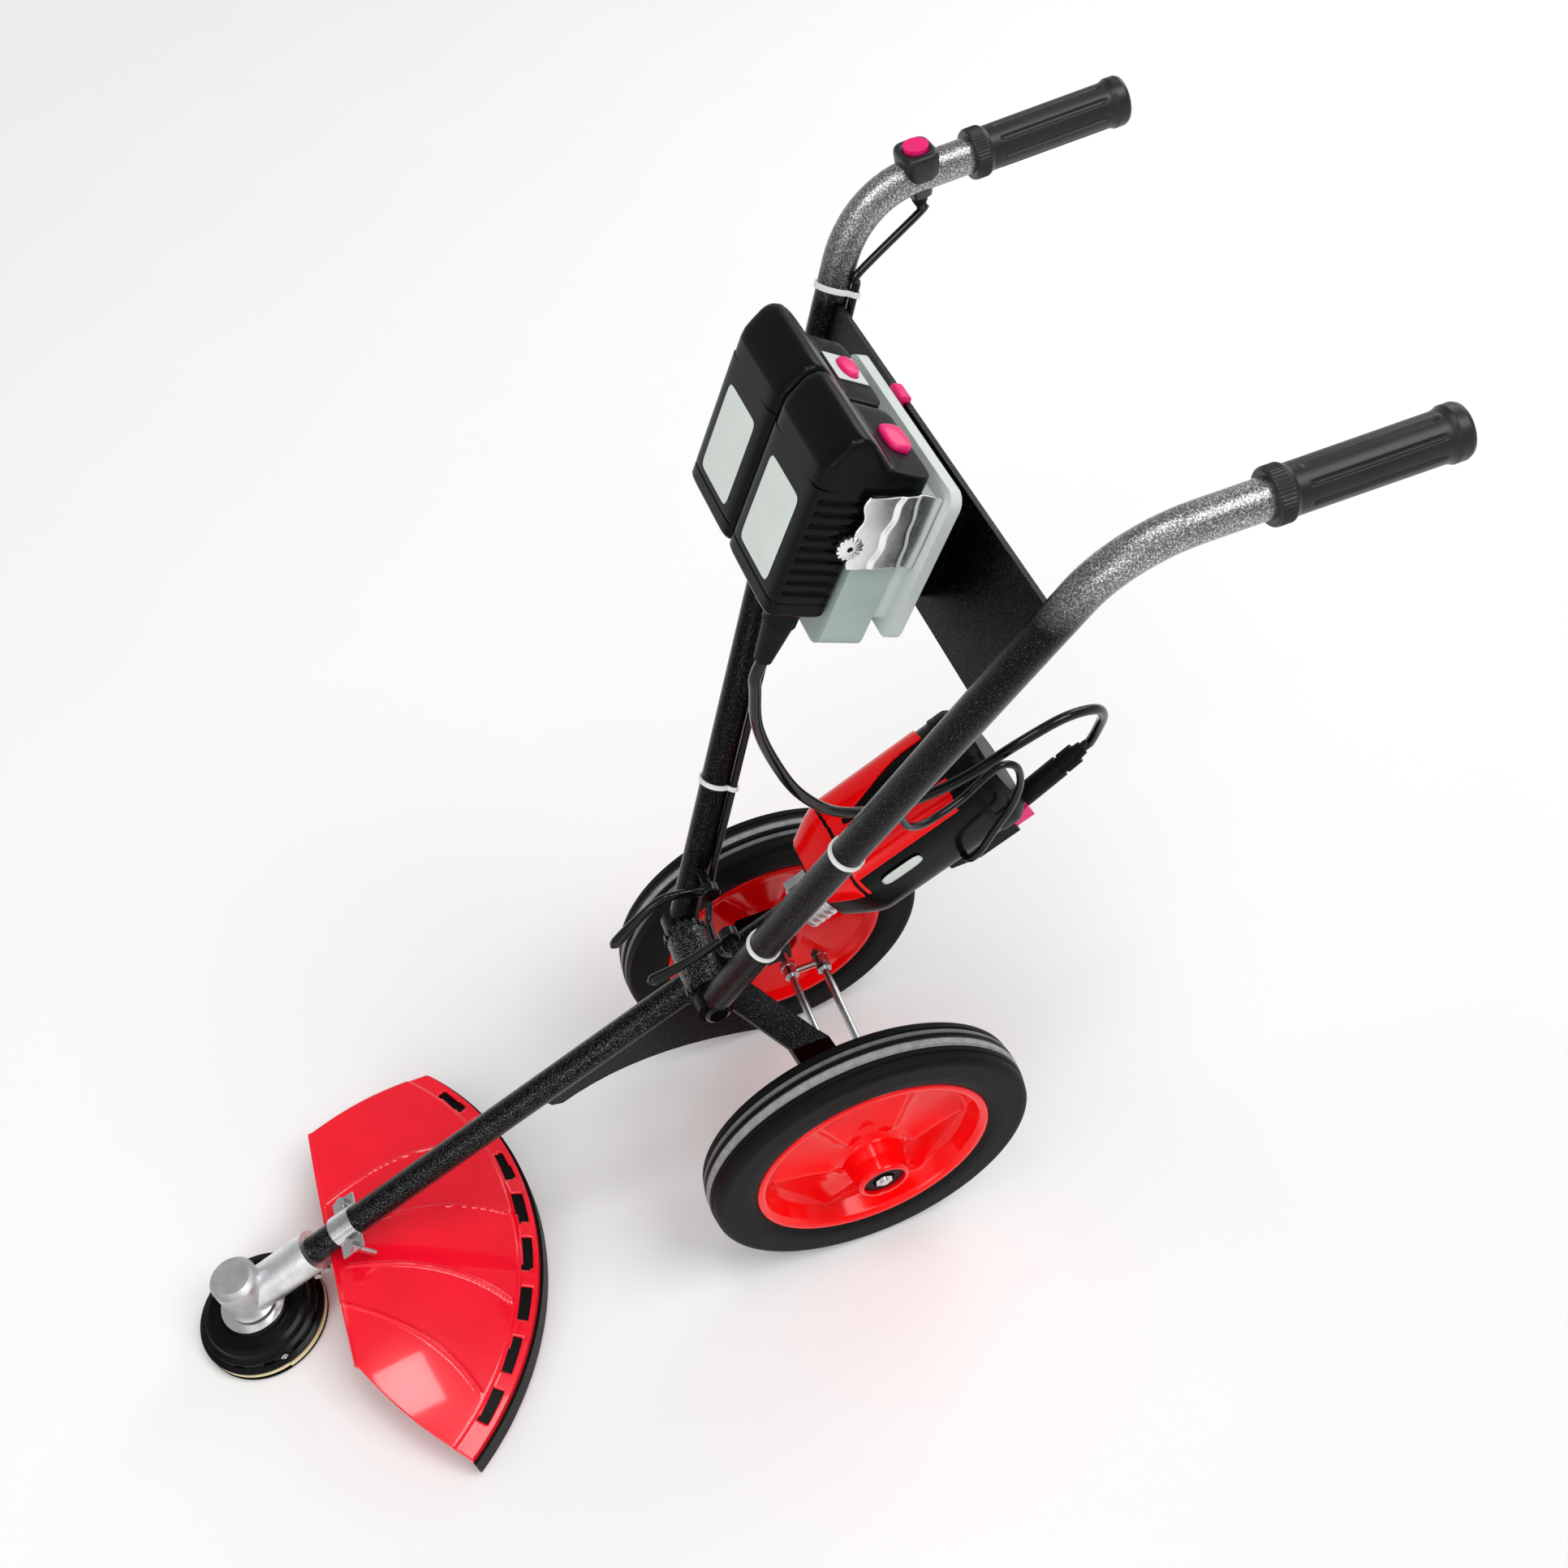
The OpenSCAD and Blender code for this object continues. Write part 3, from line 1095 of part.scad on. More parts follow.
placed() drive_tube();
placed() sleeve_bushes();
placed() gusset_plate();
placed() axle_legs();
placed() cross_tube();
placed() axle();
placed() tie_rod();
placed() axle_hardware();
placed() gear_case();
placed() clamp_bolts();
placed() shaft_bearings();
placed() guard();
placed() guard_skirt();
placed() guard_clamp();
placed() motor_coupling();
placed() motor_housing();
placed() motor_cover();
placed() motor_rear_cap();
placed() motor_stator();
placed() battery_adapter();
placed() power_plug();
placed() adapter_button();
placed() power_cable();
placed() switch_cable_loop();
placed() drive_shaft();
placed() motor_rotor();
placed() bevel_pinion();
placed() bevel_gear();
placed() output_spindle();
placed() holding_flange();
placed() head_housing();
placed() head_cover();
placed() trimmer_line();
placed() bump_spring();
placed() bump_spool();
placed() tyre_left();
placed() tyre_right();
placed() rim_left();
placed() rim_right();
placed() handle_tube_left();
placed() handle_tube_right();
placed() handle_plate();
placed() grip_left();
placed() grip_right();
placed() pivot_bolt();
placed() lock_lever_left();
placed() lock_lever_right();
placed() switch_housing();
placed() switch_button();
placed() switch_cable();
placed() cable_ties();
placed() cradle_base();
placed() cradle_box();
placed() cradle_side_bracket();
placed() battery_pack_left();
placed() battery_pack_right();
placed() release_button_left();
placed() release_button_right();
placed() cable_gland();
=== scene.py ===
"""Wheeled string trimmer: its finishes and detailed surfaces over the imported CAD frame.

Shapes are worked out in millimetres in the axle frame (ground z = 0, wheel axle y = 0, cutting head
towards -y, operator's left +x) and put into the meshes in metres in the part's own frame.
"""
import json
import math

import bmesh
import bpy
import numpy as np
from mathutils import Matrix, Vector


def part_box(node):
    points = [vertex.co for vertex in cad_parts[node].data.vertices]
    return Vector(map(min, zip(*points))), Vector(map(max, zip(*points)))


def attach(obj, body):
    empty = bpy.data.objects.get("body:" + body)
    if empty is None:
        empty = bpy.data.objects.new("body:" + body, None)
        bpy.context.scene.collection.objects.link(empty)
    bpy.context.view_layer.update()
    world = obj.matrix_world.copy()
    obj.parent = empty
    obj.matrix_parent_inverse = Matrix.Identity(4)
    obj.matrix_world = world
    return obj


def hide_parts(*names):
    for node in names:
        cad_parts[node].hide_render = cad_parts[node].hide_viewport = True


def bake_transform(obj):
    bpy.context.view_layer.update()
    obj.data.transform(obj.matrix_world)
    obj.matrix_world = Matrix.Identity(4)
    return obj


bl_info = {
    "name": "Wheeled string trimmer",
    "version": (1, 0, 0),
    "blender": (4, 5, 0),
    "location": "View3D > Sidebar > Trimmer",
    "description": "Builds the dressed wheeled string trimmer over its CAD frame",
    "category": "Object",
}

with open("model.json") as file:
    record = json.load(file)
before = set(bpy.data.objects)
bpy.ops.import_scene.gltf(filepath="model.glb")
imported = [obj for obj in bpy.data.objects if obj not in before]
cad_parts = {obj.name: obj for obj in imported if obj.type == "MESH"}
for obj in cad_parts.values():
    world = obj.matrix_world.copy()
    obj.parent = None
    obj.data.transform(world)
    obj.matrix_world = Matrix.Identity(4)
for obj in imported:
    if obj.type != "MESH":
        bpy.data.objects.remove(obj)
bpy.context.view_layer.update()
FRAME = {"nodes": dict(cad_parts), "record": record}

# The main lines of the part, in mm in the axle frame, as in the CAD source
AXLE_Y = 131.036
PIVOT = np.array([0, -93.37, 323.95])
TUBE = np.array([0, 0.89101, 0.45399])
UNDER = np.array([0, 0.45399, -0.89101])
GEARS = np.array([0, -573.0, 56.0])
UP = np.array([0, 0.43209, 0.90183])
OFF = np.array([0, -0.90183, 0.43209])
GRIP = np.array([0.0314, 0.9983, 0.0488])
CORNER_S = 594.0
CORNER_X = 194.0
HEAD_Y = -573.0
WHEEL_X = 126.0
WHEEL_Z = 150.0
MIRROR = np.array([-1.0, 1.0, 1.0])
PACK_X = 38.0
LATCH_OFF = 57.0
LATCH_UP = 549.0
RELEASES = {"left": (13, 8.5, 3.2), "right": (11, 6.5, 2.1)}
PHOTO_PX = 1932
PHOTO_FOCAL_PX = 2047


def row(points):
    """Part-frame metres from axle-frame millimetres."""
    return (np.asarray(points, float) + np.array([0, AXLE_Y, 0])) * 0.001


def on_drive(x, under, along):
    """Points beside the drive tube: x across, under it, and along it from the bevel gears."""
    x, under, along = np.broadcast_arrays(x, under, along)
    across = x[..., None] * np.array([1.0, 0, 0])
    return GEARS + across + under[..., None] * UNDER + along[..., None] * TUBE


def on_handle(x, off, up):
    """Points of the handlebar: x across, off its front face, and up it from the pivot."""
    x, off, up = np.broadcast_arrays(x, off, up)
    return PIVOT + x[..., None] * np.array([1.0, 0, 0]) + off[..., None] * OFF + up[..., None] * UP


# The bar's upper corner, and the switch along the grip from it
GRIP_UP = np.cross([1.0, 0, 0], GRIP) / np.linalg.norm(np.cross([1.0, 0, 0], GRIP))
CORNER = on_handle(CORNER_X, 0.0, CORNER_S)
SWITCH = CORNER + 47.5 * GRIP
SWITCH_BOOT = SWITCH - 23.5 * GRIP_UP


def tube_x(up):
    """Half spread of the two handle tubes at a height up the handlebar."""
    return 42 + 0.2559 * up


def beside_tube(side, up):
    """A cable's place 16.1 mm from a handle tube's axis, 40 degrees behind its inner side."""
    reach, turn, lean = 16.1, math.radians(40), math.radians(14.354)
    inward = reach * math.cos(turn)
    x = side * (tube_x(up) - inward * math.cos(lean))
    return on_handle(x, -reach * math.sin(turn), up + inward * math.sin(lean))


def smooth(points, steps=6):
    """A curve through the points: cubic pieces whose slopes are half the step between neighbours."""
    p = np.asarray(points, float)
    slope = np.vstack([p[1] - p[0], (p[2:] - p[:-2]) / 2, p[-1] - p[-2]])
    t = np.linspace(0, 1, steps, endpoint=False)[None, :, None]
    a, b = p[:-1, None], p[1:, None]
    sa, sb = slope[:-1, None], slope[1:, None]
    curve = (2 * t**3 - 3 * t**2 + 1) * a + (t**3 - 2 * t**2 + t) * sa
    curve = curve + (3 * t**2 - 2 * t**3) * b + (t**3 - t**2) * sb
    return np.vstack([curve.reshape(-1, 3), p[-1:]])


def step(low, high, value):
    """Smooth rise from 0 to 1 between low and high."""
    t = np.clip((value - low) / (high - low), 0, 1)
    return t * t * (3 - 2 * t)


def through(keys, count):
    """Points spaced evenly by length along straight lines through the keys."""
    keys = np.asarray(keys, float)
    run = np.concatenate([[0], np.cumsum(np.linalg.norm(np.diff(keys, axis=0), axis=1))])
    at = np.linspace(0, run[-1], count)
    return np.stack([np.interp(at, run, keys[:, k]) for k in range(keys.shape[1])], -1)


def face_out(mesh, facing):
    """Turn faces outwards: a closed mesh by the sign of its volume, an open one towards facing."""
    form = bmesh.new()
    form.from_mesh(mesh)
    if facing is None:
        wrong = form.calc_volume(signed=True) < 0
    else:
        normals = np.array([face.normal[:] for face in form.faces])
        wrong = (normals @ np.asarray(facing, float)).sum() < 0
    if wrong:
        bmesh.ops.reverse_faces(form, faces=form.faces)
        form.to_mesh(mesh)
    form.free()


def piece(name, shape, look, body, replaces=(), sharp=40, facing=None):
    """A finished piece from points in mm and faces: smooth-shaded, riding on its body."""
    points, faces = shape
    mesh = bpy.data.meshes.new(name)
    mesh.from_pydata(row(points).tolist(), [], faces)
    if mesh.validate():
        raise RuntimeError(f"{name} has broken faces")
    face_out(mesh, facing)
    mesh.polygons.foreach_set("use_smooth", np.ones(len(mesh.polygons), bool))
    mesh.set_sharp_from_angle(angle=math.radians(sharp))
    mesh.materials.append(finish(look))
    obj = bpy.data.objects.new(name, mesh)
    bpy.context.scene.collection.objects.link(obj)
    if body:
        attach(obj, body)
    if replaces:
        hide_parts(*replaces)
    return obj


def grid(points, around=False, along=False, ends=False, keep=None):
    """Points and faces of a grid (rows, columns, 3): rows and columns may close, ends may be capped."""
    rows, cols = points.shape[:2]
    i = np.arange(rows if around else rows - 1)[:, None]
    j = np.arange(cols if along else cols - 1)[None, :]
    a = i * cols + j
    b = (i + 1) % rows * cols + j
    c = (i + 1) % rows * cols + (j + 1) % cols
    d = i * cols + (j + 1) % cols
    quads = np.stack([a, b, c, d], -1)
    if keep is not None:
        quads = quads[keep]
    faces = quads.reshape(-1, 4).tolist()
    if ends:
        first = np.arange(rows) * cols
        last = first + cols - 1
        faces = faces + [first[::-1].tolist(), last.tolist()]
    return points.reshape(-1, 3), faces


def carve(obj, shape):
    """Cut a closed shape, in mm, out of a piece's mesh."""
    points, faces = shape
    mesh = bpy.data.meshes.new("cutter")
    mesh.from_pydata(row(points).tolist(), [], faces)
    face_out(mesh, None)
    cutter = bpy.data.objects.new("cutter", mesh)
    bpy.context.scene.collection.objects.link(cutter)
    cut = obj.modifiers.new("Cut", "BOOLEAN")
    cut.operation = "DIFFERENCE"
    cut.solver = "EXACT"
    cut.object = cutter
    solid = obj.evaluated_get(bpy.context.evaluated_depsgraph_get())
    carved = bpy.data.meshes.new_from_object(solid)
    obj.modifiers.clear()
    obj.data = carved
    bpy.data.objects.remove(cutter)
    bpy.data.meshes.remove(mesh)


def thicken(obj, metres, offset):
    """Give a sheet a wall, inside its faces with offset -1 or half to each side with 0."""
    wall = obj.modifiers.new("Wall", "SOLIDIFY")
    wall.thickness = metres
    wall.offset = offset


def swept(path, radius, sides=16, ref=None, flat=1.0):
    """A round bar along a path: rings of the radius square to the path, capped at both ends.

    The rings are set by one direction, ref; without it, the one least in line with the path.
    """
    path = np.asarray(path, float)
    way = np.gradient(path, axis=0)
    way = way / np.linalg.norm(way, axis=1, keepdims=True)
    if ref is None:
        k = np.arange(400) + 0.5
        z = 1 - 2 * k / 400
        around = k * math.pi * (3 - math.sqrt(5))
        ways = np.stack([np.sqrt(1 - z * z) * np.cos(around), np.sqrt(1 - z * z) * np.sin(around), z], -1)
        ref = ways[np.abs(way @ ways.T).max(0).argmin()]
    side = np.cross(way, np.asarray(ref, float))
    side = side / np.linalg.norm(side, axis=1, keepdims=True)
    other = np.cross(way, side)
    turn = np.linspace(0, 2 * np.pi, sides, endpoint=False)[:, None, None]
    r = np.broadcast_to(np.asarray(radius, float), (len(path),))[None, :, None]
    rings = path[None] + r * (np.cos(turn) * side[None] + flat * np.sin(turn) * other[None])
    return grid(rings, around=True, ends=True)


def turned(profile, centre, axis, count=96, closed=True, wave=None):
    """A turned shape: (along, radius) keys carried round an axis; wave adds to the radius."""
    axis = np.asarray(axis, float) / np.linalg.norm(axis)
    hint = np.array([0, 0, 1.0]) if abs(axis[2]) < 0.9 else np.array([0, 1.0, 0])
    e1 = np.cross(hint, axis)
    e1 = e1 / np.linalg.norm(e1)
    e2 = np.cross(axis, e1)
    turn = np.linspace(0, 2 * np.pi, count, endpoint=False)[:, None, None]
    along = np.asarray(profile, float)[None, :, 0:1]
    r = np.asarray(profile, float)[None, :, 1:2]
    if wave is not None:
        r = r + wave(turn, along)
    points = np.asarray(centre, float) + along * axis + r * (np.cos(turn) * e1 + np.sin(turn) * e2)
    return grid(points, around=True, along=closed, ends=not closed)


def box_loop(width, depth, power, count):
    """Superellipse outline of these half sizes; lists of half sizes give a column for each."""
    turn = np.linspace(0, 2 * np.pi, count, endpoint=False)
    if np.ndim(depth):
        turn = turn[:, None]
    c, s = np.cos(turn), np.sin(turn)
    scale = (np.abs(c / width) ** power + np.abs(s / depth) ** power) ** (-1 / power)
    return scale * c, scale * s


# Finishes
def nodes_of(name):
    """A new material with only its shader and output, and its Object coordinates."""
    mat = bpy.data.materials.new(name)
    mat.use_nodes = True
    tree = mat.node_tree
    shader = tree.nodes["Principled BSDF"]
    place = tree.nodes.new("ShaderNodeTexCoord").outputs["Object"]
    return mat, tree, shader, place


def feed(tree, node, inputs):
    """Link a node's inputs to sockets, or set them to values."""
    for key, value in inputs.items():
        if isinstance(value, bpy.types.NodeSocket):
            tree.links.new(value, node.inputs[key])
        else:
            node.inputs[key].default_value = value


def add(tree, kind, inputs, **settings):
    """A new node with its settings, and with its inputs fed."""
    node = tree.nodes.new("ShaderNode" + kind)
    for key, value in settings.items():
        setattr(node, key, value)
    feed(tree, node, inputs)
    return node


def noise(tree, place, scale, detail=3.0, rough=0.5):
    """Noise over the surface, its scale in waves per metre."""
    node = add(tree, "TexNoise", {"Scale": scale, "Detail": detail, "Roughness": rough, "Vector": place})
    return node.outputs["Fac"]


def ramp(tree, value, stops):
    """Colours along a value: (position, colour) stops."""
    node = add(tree, "ValToRGB", {"Fac": value})
    band = node.color_ramp
    while len(band.elements) < len(stops):
        band.elements.new(0.5)
    for element, (position, colour) in zip(band.elements, stops):
        element.position = position
        element.color = (*colour[:3], 1)
    return node.outputs["Color"]


def spread(tree, value, low, high):
    """A value of 0 to 1 set between low and high."""
    return add(tree, "MapRange", {"To Min": low, "To Max": high, "Value": value}).outputs["Result"]


def rise(tree, value, low, high):
    """0 to 1 as a value goes from low to high."""
    return add(tree, "MapRange", {"From Min": low, "From Max": high, "Value": value}).outputs["Result"]


def blended(tree, factor, first, second):
    """One colour that turns into another with a factor."""
    return add(tree, "Mix", {"Factor": factor, "A": first, "B": second}, data_type="RGBA").outputs["Result"]


def relief(tree, shader, height, depth, round_edges=0.0):
    """Bump from a height, over edges shaded round by a small radius."""
    node = add(tree, "Bump", {"Distance": depth, "Strength": 0.6, "Height": height})
    if round_edges:
        edge = add(tree, "Bevel", {"Radius": round_edges}, samples=4)
        tree.links.new(edge.outputs["Normal"], node.inputs["Normal"])
    tree.links.new(node.outputs["Normal"], shader.inputs["Normal"])


def speckle(tree, value, dark, fleck, amount):
    """Dark paint with flecks where a value is high; amount says how much of it they cover."""
    low = 0.6 - amount
    between = [0.5 * (a + b) for a, b in zip(dark, fleck)]
    return ramp(tree, value, [(low, dark), (low + 0.07, between), (low + 0.2, fleck)])


def hammered(name, dark, fleck, amount, scale=900, painted_highlight_from=None):
    """Hammered paint: dark pools between silvery flecks about a millimetre across.

    Given a height in metres as its last argument, the paint turns to a painted highlight of bright silver
    flecks over the 0.05 m above it, standing in for the light along the top of the bent bar.
    """
    mat, tree, shader, place = nodes_of(name)
    fine = noise(tree, place, scale, 4.0, 0.65)
    paint = speckle(tree, fine, dark, fleck, amount)
    # Painted highlight: above the given height the dark paint turns to bright silver flecks, standing in
    # for the light that falls along the top of the bent bar.
    if painted_highlight_from is not None:
        height = add(tree, "SeparateXYZ", {"Vector": place}).outputs["Z"]
        silver = speckle(tree, fine, (0.17, 0.17, 0.175), (0.9, 0.9, 0.91), 0.11)
        paint = blended(tree, rise(tree, height, painted_highlight_from, painted_highlight_from + 0.05), paint, silver)
    feed(tree, shader, {"Base Color": paint, "Roughness": spread(tree, fine, 0.16, 0.4), "Metallic": 0.85,
                        "Specular IOR Level": 0.4})
    relief(tree, shader, fine, 0.0003, 0.0006)
    return mat


def metal(name, colour, rough, grain, depth, tarnish=0.12):
    """Bare metal: fine grain in its relief and its shine, and broad tarnish in its colour."""
    mat, tree, shader, place = nodes_of(name)
    broad = noise(tree, place, 34, 5.0, 0.6)
    fine = noise(tree, place, grain, 3.0, 0.6)
    worn = [c * (1 - 2.2 * tarnish) for c in colour]
    feed(tree, shader, {"Base Color": ramp(tree, broad, [(0.32, worn), (0.6, colour)]), "Metallic": 1.0,
                        "Roughness": spread(tree, fine, rough * 0.7, rough * 1.35)})
    relief(tree, shader, fine, depth, 0.0005)
    return mat


def moulded(name, colour, rough, coat, grain=900, depth=0.00006, mottle=0.12, shine=0.4):
    """Moulded plastic: fine skin grain, a faint broad change of tone and of shine."""
    mat, tree, shader, place = nodes_of(name)
    broad = noise(tree, place, 22, 4.0, 0.55)
    fine = noise(tree, place, grain, 2.0, 0.5)
    low = [c * (1 - mottle) for c in colour]
    high = [min(1, c * (1 + mottle)) for c in colour]
    feed(tree, shader, {"Base Color": ramp(tree, broad, [(0.3, low), (0.7, high)]),
                        "Roughness": spread(tree, broad, rough * 0.75, rough * 1.3), "Coat Weight": coat,
                        "Coat Roughness": 0.05, "Specular IOR Level": shine})
    relief(tree, shader, fine, depth, 0.0008)
    return mat


def tyre_rubber(name, black, band):
    """Tyre rubber: black, with a dusty grey band round the tread's middle and a fainter one beside it."""
    mat, tree, shader, place = nodes_of(name)
    x = add(tree, "SeparateXYZ", {"Vector": place}).outputs["X"]
    outward = add(tree, "Math", {0: x}, operation="ABSOLUTE").outputs["Value"]
    faint = [0.5 * a + 0.5 * b for a, b in zip(black, band)]
    across = ramp(tree, rise(tree, outward, 0.104, 0.148), [
        (0.0, black), (0.24, black), (0.27, faint), (0.33, faint), (0.36, black), (0.46, black),
        (0.50, band), (0.62, band), (0.66, black), (1.0, black)])
    height = add(tree, "VectorMath", {0: place, 1: (0, 1, 1)}, operation="MULTIPLY").outputs["Vector"]
    axle = (0, 0.001 * AXLE_Y, 0.001 * WHEEL_Z)
    away = add(tree, "VectorMath", {0: height, 1: axle}, operation="DISTANCE").outputs["Value"]
    dusty = spread(tree, noise(tree, place, 130, 5.0, 0.7), 0.3, 1.2)
    wear = add(tree, "Math", {0: dusty, 1: rise(tree, away, 0.1455, 0.1475)}, operation="MULTIPLY")
    fine = noise(tree, place, 1400, 3.0, 0.6)
    feed(tree, shader, {"Base Color": blended(tree, wear.outputs["Value"], (*black, 1), across),
                        "Roughness": spread(tree, fine, 0.42, 0.68), "Specular IOR Level": 0.1})
    relief(tree, shader, fine, 0.00012)
    return mat


def finishes():
    """The finishes by material slot, made on first use from the colours in the panel."""
    if "Hammered black" not in bpy.data.materials:
        c = bpy.context.scene.trimmer_colours
        red, black = list(c.red), list(c.black)
        hammered("Hammered black", (0.003, 0.003, 0.0035), (0.11, 0.11, 0.115), 0.03)
        # Painted highlight: above 0.8 m the bar's paint turns to bright silver flecks, standing in for the
        # light along its bent top.
        hammered("Hammered bar", (0.003, 0.003, 0.0035), (0.14, 0.14, 0.145), 0.03, 900, 0.8)
        hammered("Hammered drive", (0.004, 0.004, 0.0045), (0.36, 0.36, 0.365), 0.04, 1000)
        hammered("Hammered silver", (0.016, 0.016, 0.017), (0.6, 0.6, 0.61), 0.06, 900)
        metal("Bare steel", list(c.steel), 0.2, 700, 0.00008)
        metal("Bright plate", (0.9, 0.91, 0.9), 0.24, 260, 0.000003, 0.04)
        metal("Cast alloy", (0.86, 0.87, 0.88), 0.36, 1100, 0.0003, 0.14)
        metal("Copper wire", (0.62, 0.3, 0.13), 0.3, 900, 0.0001)
        moulded("Red gloss", red, 0.14, 0.08, 500, 0.00003, 0.04, 0.25)
        moulded("Crimson guard", list(c.guard), 0.2, 0.6, 420, 0.00005, 0.05, 0.25)
        moulded("Black gloss", black, 0.26, 0.04, 700, 0.00004, 0.2, 0.1)
        moulded("Black matt", black, 0.42, 0.0, 1500, 0.00014, 0.2, 0.1)
        moulded("Black rubber", black, 0.46, 0.0, 1800, 0.00016, 0.25, 0.12)
        moulded("Grip rubber", (0.011, 0.012, 0.013), 0.34, 0.0, 1800, 0.00016, 0.2, 0.4)
        moulded("Cable sheath", black, 0.2, 0.5, 900, 0.00006, 0.2, 0.1)
        moulded("Pink gloss", list(c.pink), 0.26, 0.1, 600, 0.00003, 0.05, 0.25)
        moulded("Cream line", list(c.line), 0.42, 0.0, 900, 0.00006, 0.06)
        moulded("White nylon", (0.82, 0.82, 0.81), 0.4, 0.0, 800, 0.00006, 0.04)
        moulded("Pale grey", (0.6, 0.65, 0.62), 0.42, 0.0, 1100, 0.0001, 0.06)
        moulded("Grey green", (0.4, 0.49, 0.45), 0.4, 0.1, 1100, 0.0001, 0.07)
        moulded("Lever black", black, 0.12, 0.25, 500, 0.00004, 0.2, 0.2)
        moulded("Sticker", list(c.sticker), 0.46, 0.0, 700, 0.00002, 0.05)
        tyre_rubber("Tyre rubber", (0.0045, 0.005, 0.005), list(c.tyre_band))
    slots = {"tyre_black": "Tyre rubber", "copper": "Copper wire", "black_lever": "Lever black"}
    for name in ("Hammered black", "Bare steel", "Bright plate", "Cast alloy", "Red gloss", "Black gloss",
                 "Black matt", "Black rubber", "Pink gloss", "Cream line", "White nylon", "Pale grey",
                 "Grey green"):
        slots[name.lower().replace(" ", "_")] = name
    return slots


def finish(name):
    """A finish by its name in the material list."""
    finishes()
    return bpy.data.materials[name]


def length(name, about, metres, low, high):
    """A length that the panel shows."""
    return bpy.props.FloatProperty(
        name=name, description=about, default=metres, unit="LENGTH", min=low, max=high)


def colour(name, about, value):
    """A colour that the panel shows."""
    return bpy.props.FloatVectorProperty(
        name=name, description=about, default=value, subtype="COLOR", min=0, max=1)


class TrimmerSizes(bpy.types.PropertyGroup):
    """Sizes of the surfaces that scene pieces add to the CAD frame."""
    rim_ridges: bpy.props.IntProperty(
        name="Rim ridges", description="Raised ridges of the wheel's dish", default=6, min=3, max=12)
    rim_ridge_high: length("Rim ridge height", "Height of a ridge over the dish", 0.009, 0.0, 0.012)
    tread_groove: length("Tread groove", "Depth of the grooves round the tyre", 0.0017, 0.0, 0.004)
    grip_flutes: bpy.props.IntProperty(
        name="Grip flutes", description="Long grooves round a grip", default=8, min=0, max=24)
    guard_line: length("Guard line", "Height of the raised lines on the guard", 0.0012, 0.0, 0.004)
    power_cable_d: length("Power cable", "Diameter of the battery cable", 0.0085, 0.004, 0.012)
    switch_cable_d: length("Switch cable", "Diameter of the switch cable", 0.006, 0.003, 0.008)
    floor: length("Floor", "Side of the studio floor", 14.0, 4.0, 100.0)


class TrimmerColours(bpy.types.PropertyGroup):
    """Colours of the finishes."""
    red: colour("Red", "Rims and motor panels", (0.92, 0.001, 0.002))
    guard: colour("Guard", "Crimson of the guard", (0.92, 0.003, 0.02))
    pink: colour("Pink", "Buttons, clip and release tabs", (0.8, 0.012, 0.16))
    black: colour("Black", "Plastic and rubber", (0.0025, 0.003, 0.003))
    steel: colour("Steel", "Axle and tie rod", (0.66, 0.66, 0.67))
    tyre_band: colour("Tyre band", "Dusty band round the tread", (0.42, 0.42, 0.42))
    line: colour("Line", "Trimmer line", (0.78, 0.68, 0.4))
    sticker: colour("Sticker", "Bare stickers on the packs", (0.69, 0.75, 0.705))


class TRIMMER_OT_camera(bpy.types.Operator):
    """Set the camera at the photograph's place, with its view's three directions as matrix columns"""
    bl_idname = "trimmer.camera"
    bl_label = "Camera"

    def execute(self, context):
        right = np.array([0.3495, 0.9325, -0.0914])
        up = np.array([-0.7112, 0.3276, 0.6221])
        back = np.cross(right, up)
        lens = bpy.data.cameras.new("Studio camera")
        lens.sensor_width = 36
        lens.lens = 36 * PHOTO_FOCAL_PX / PHOTO_PX
        lens.clip_end = 60
        camera = bpy.data.objects.new("Studio camera", lens)
        context.scene.collection.objects.link(camera)
        place = np.eye(4)
        place[:3, :3] = np.stack([right, up, back], 1)
        place[:3, 3] = row([774.6, -189.4, 1502.2])
        camera.matrix_world = Matrix(place.tolist())
        context.scene.camera = camera
        return {"FINISHED"}


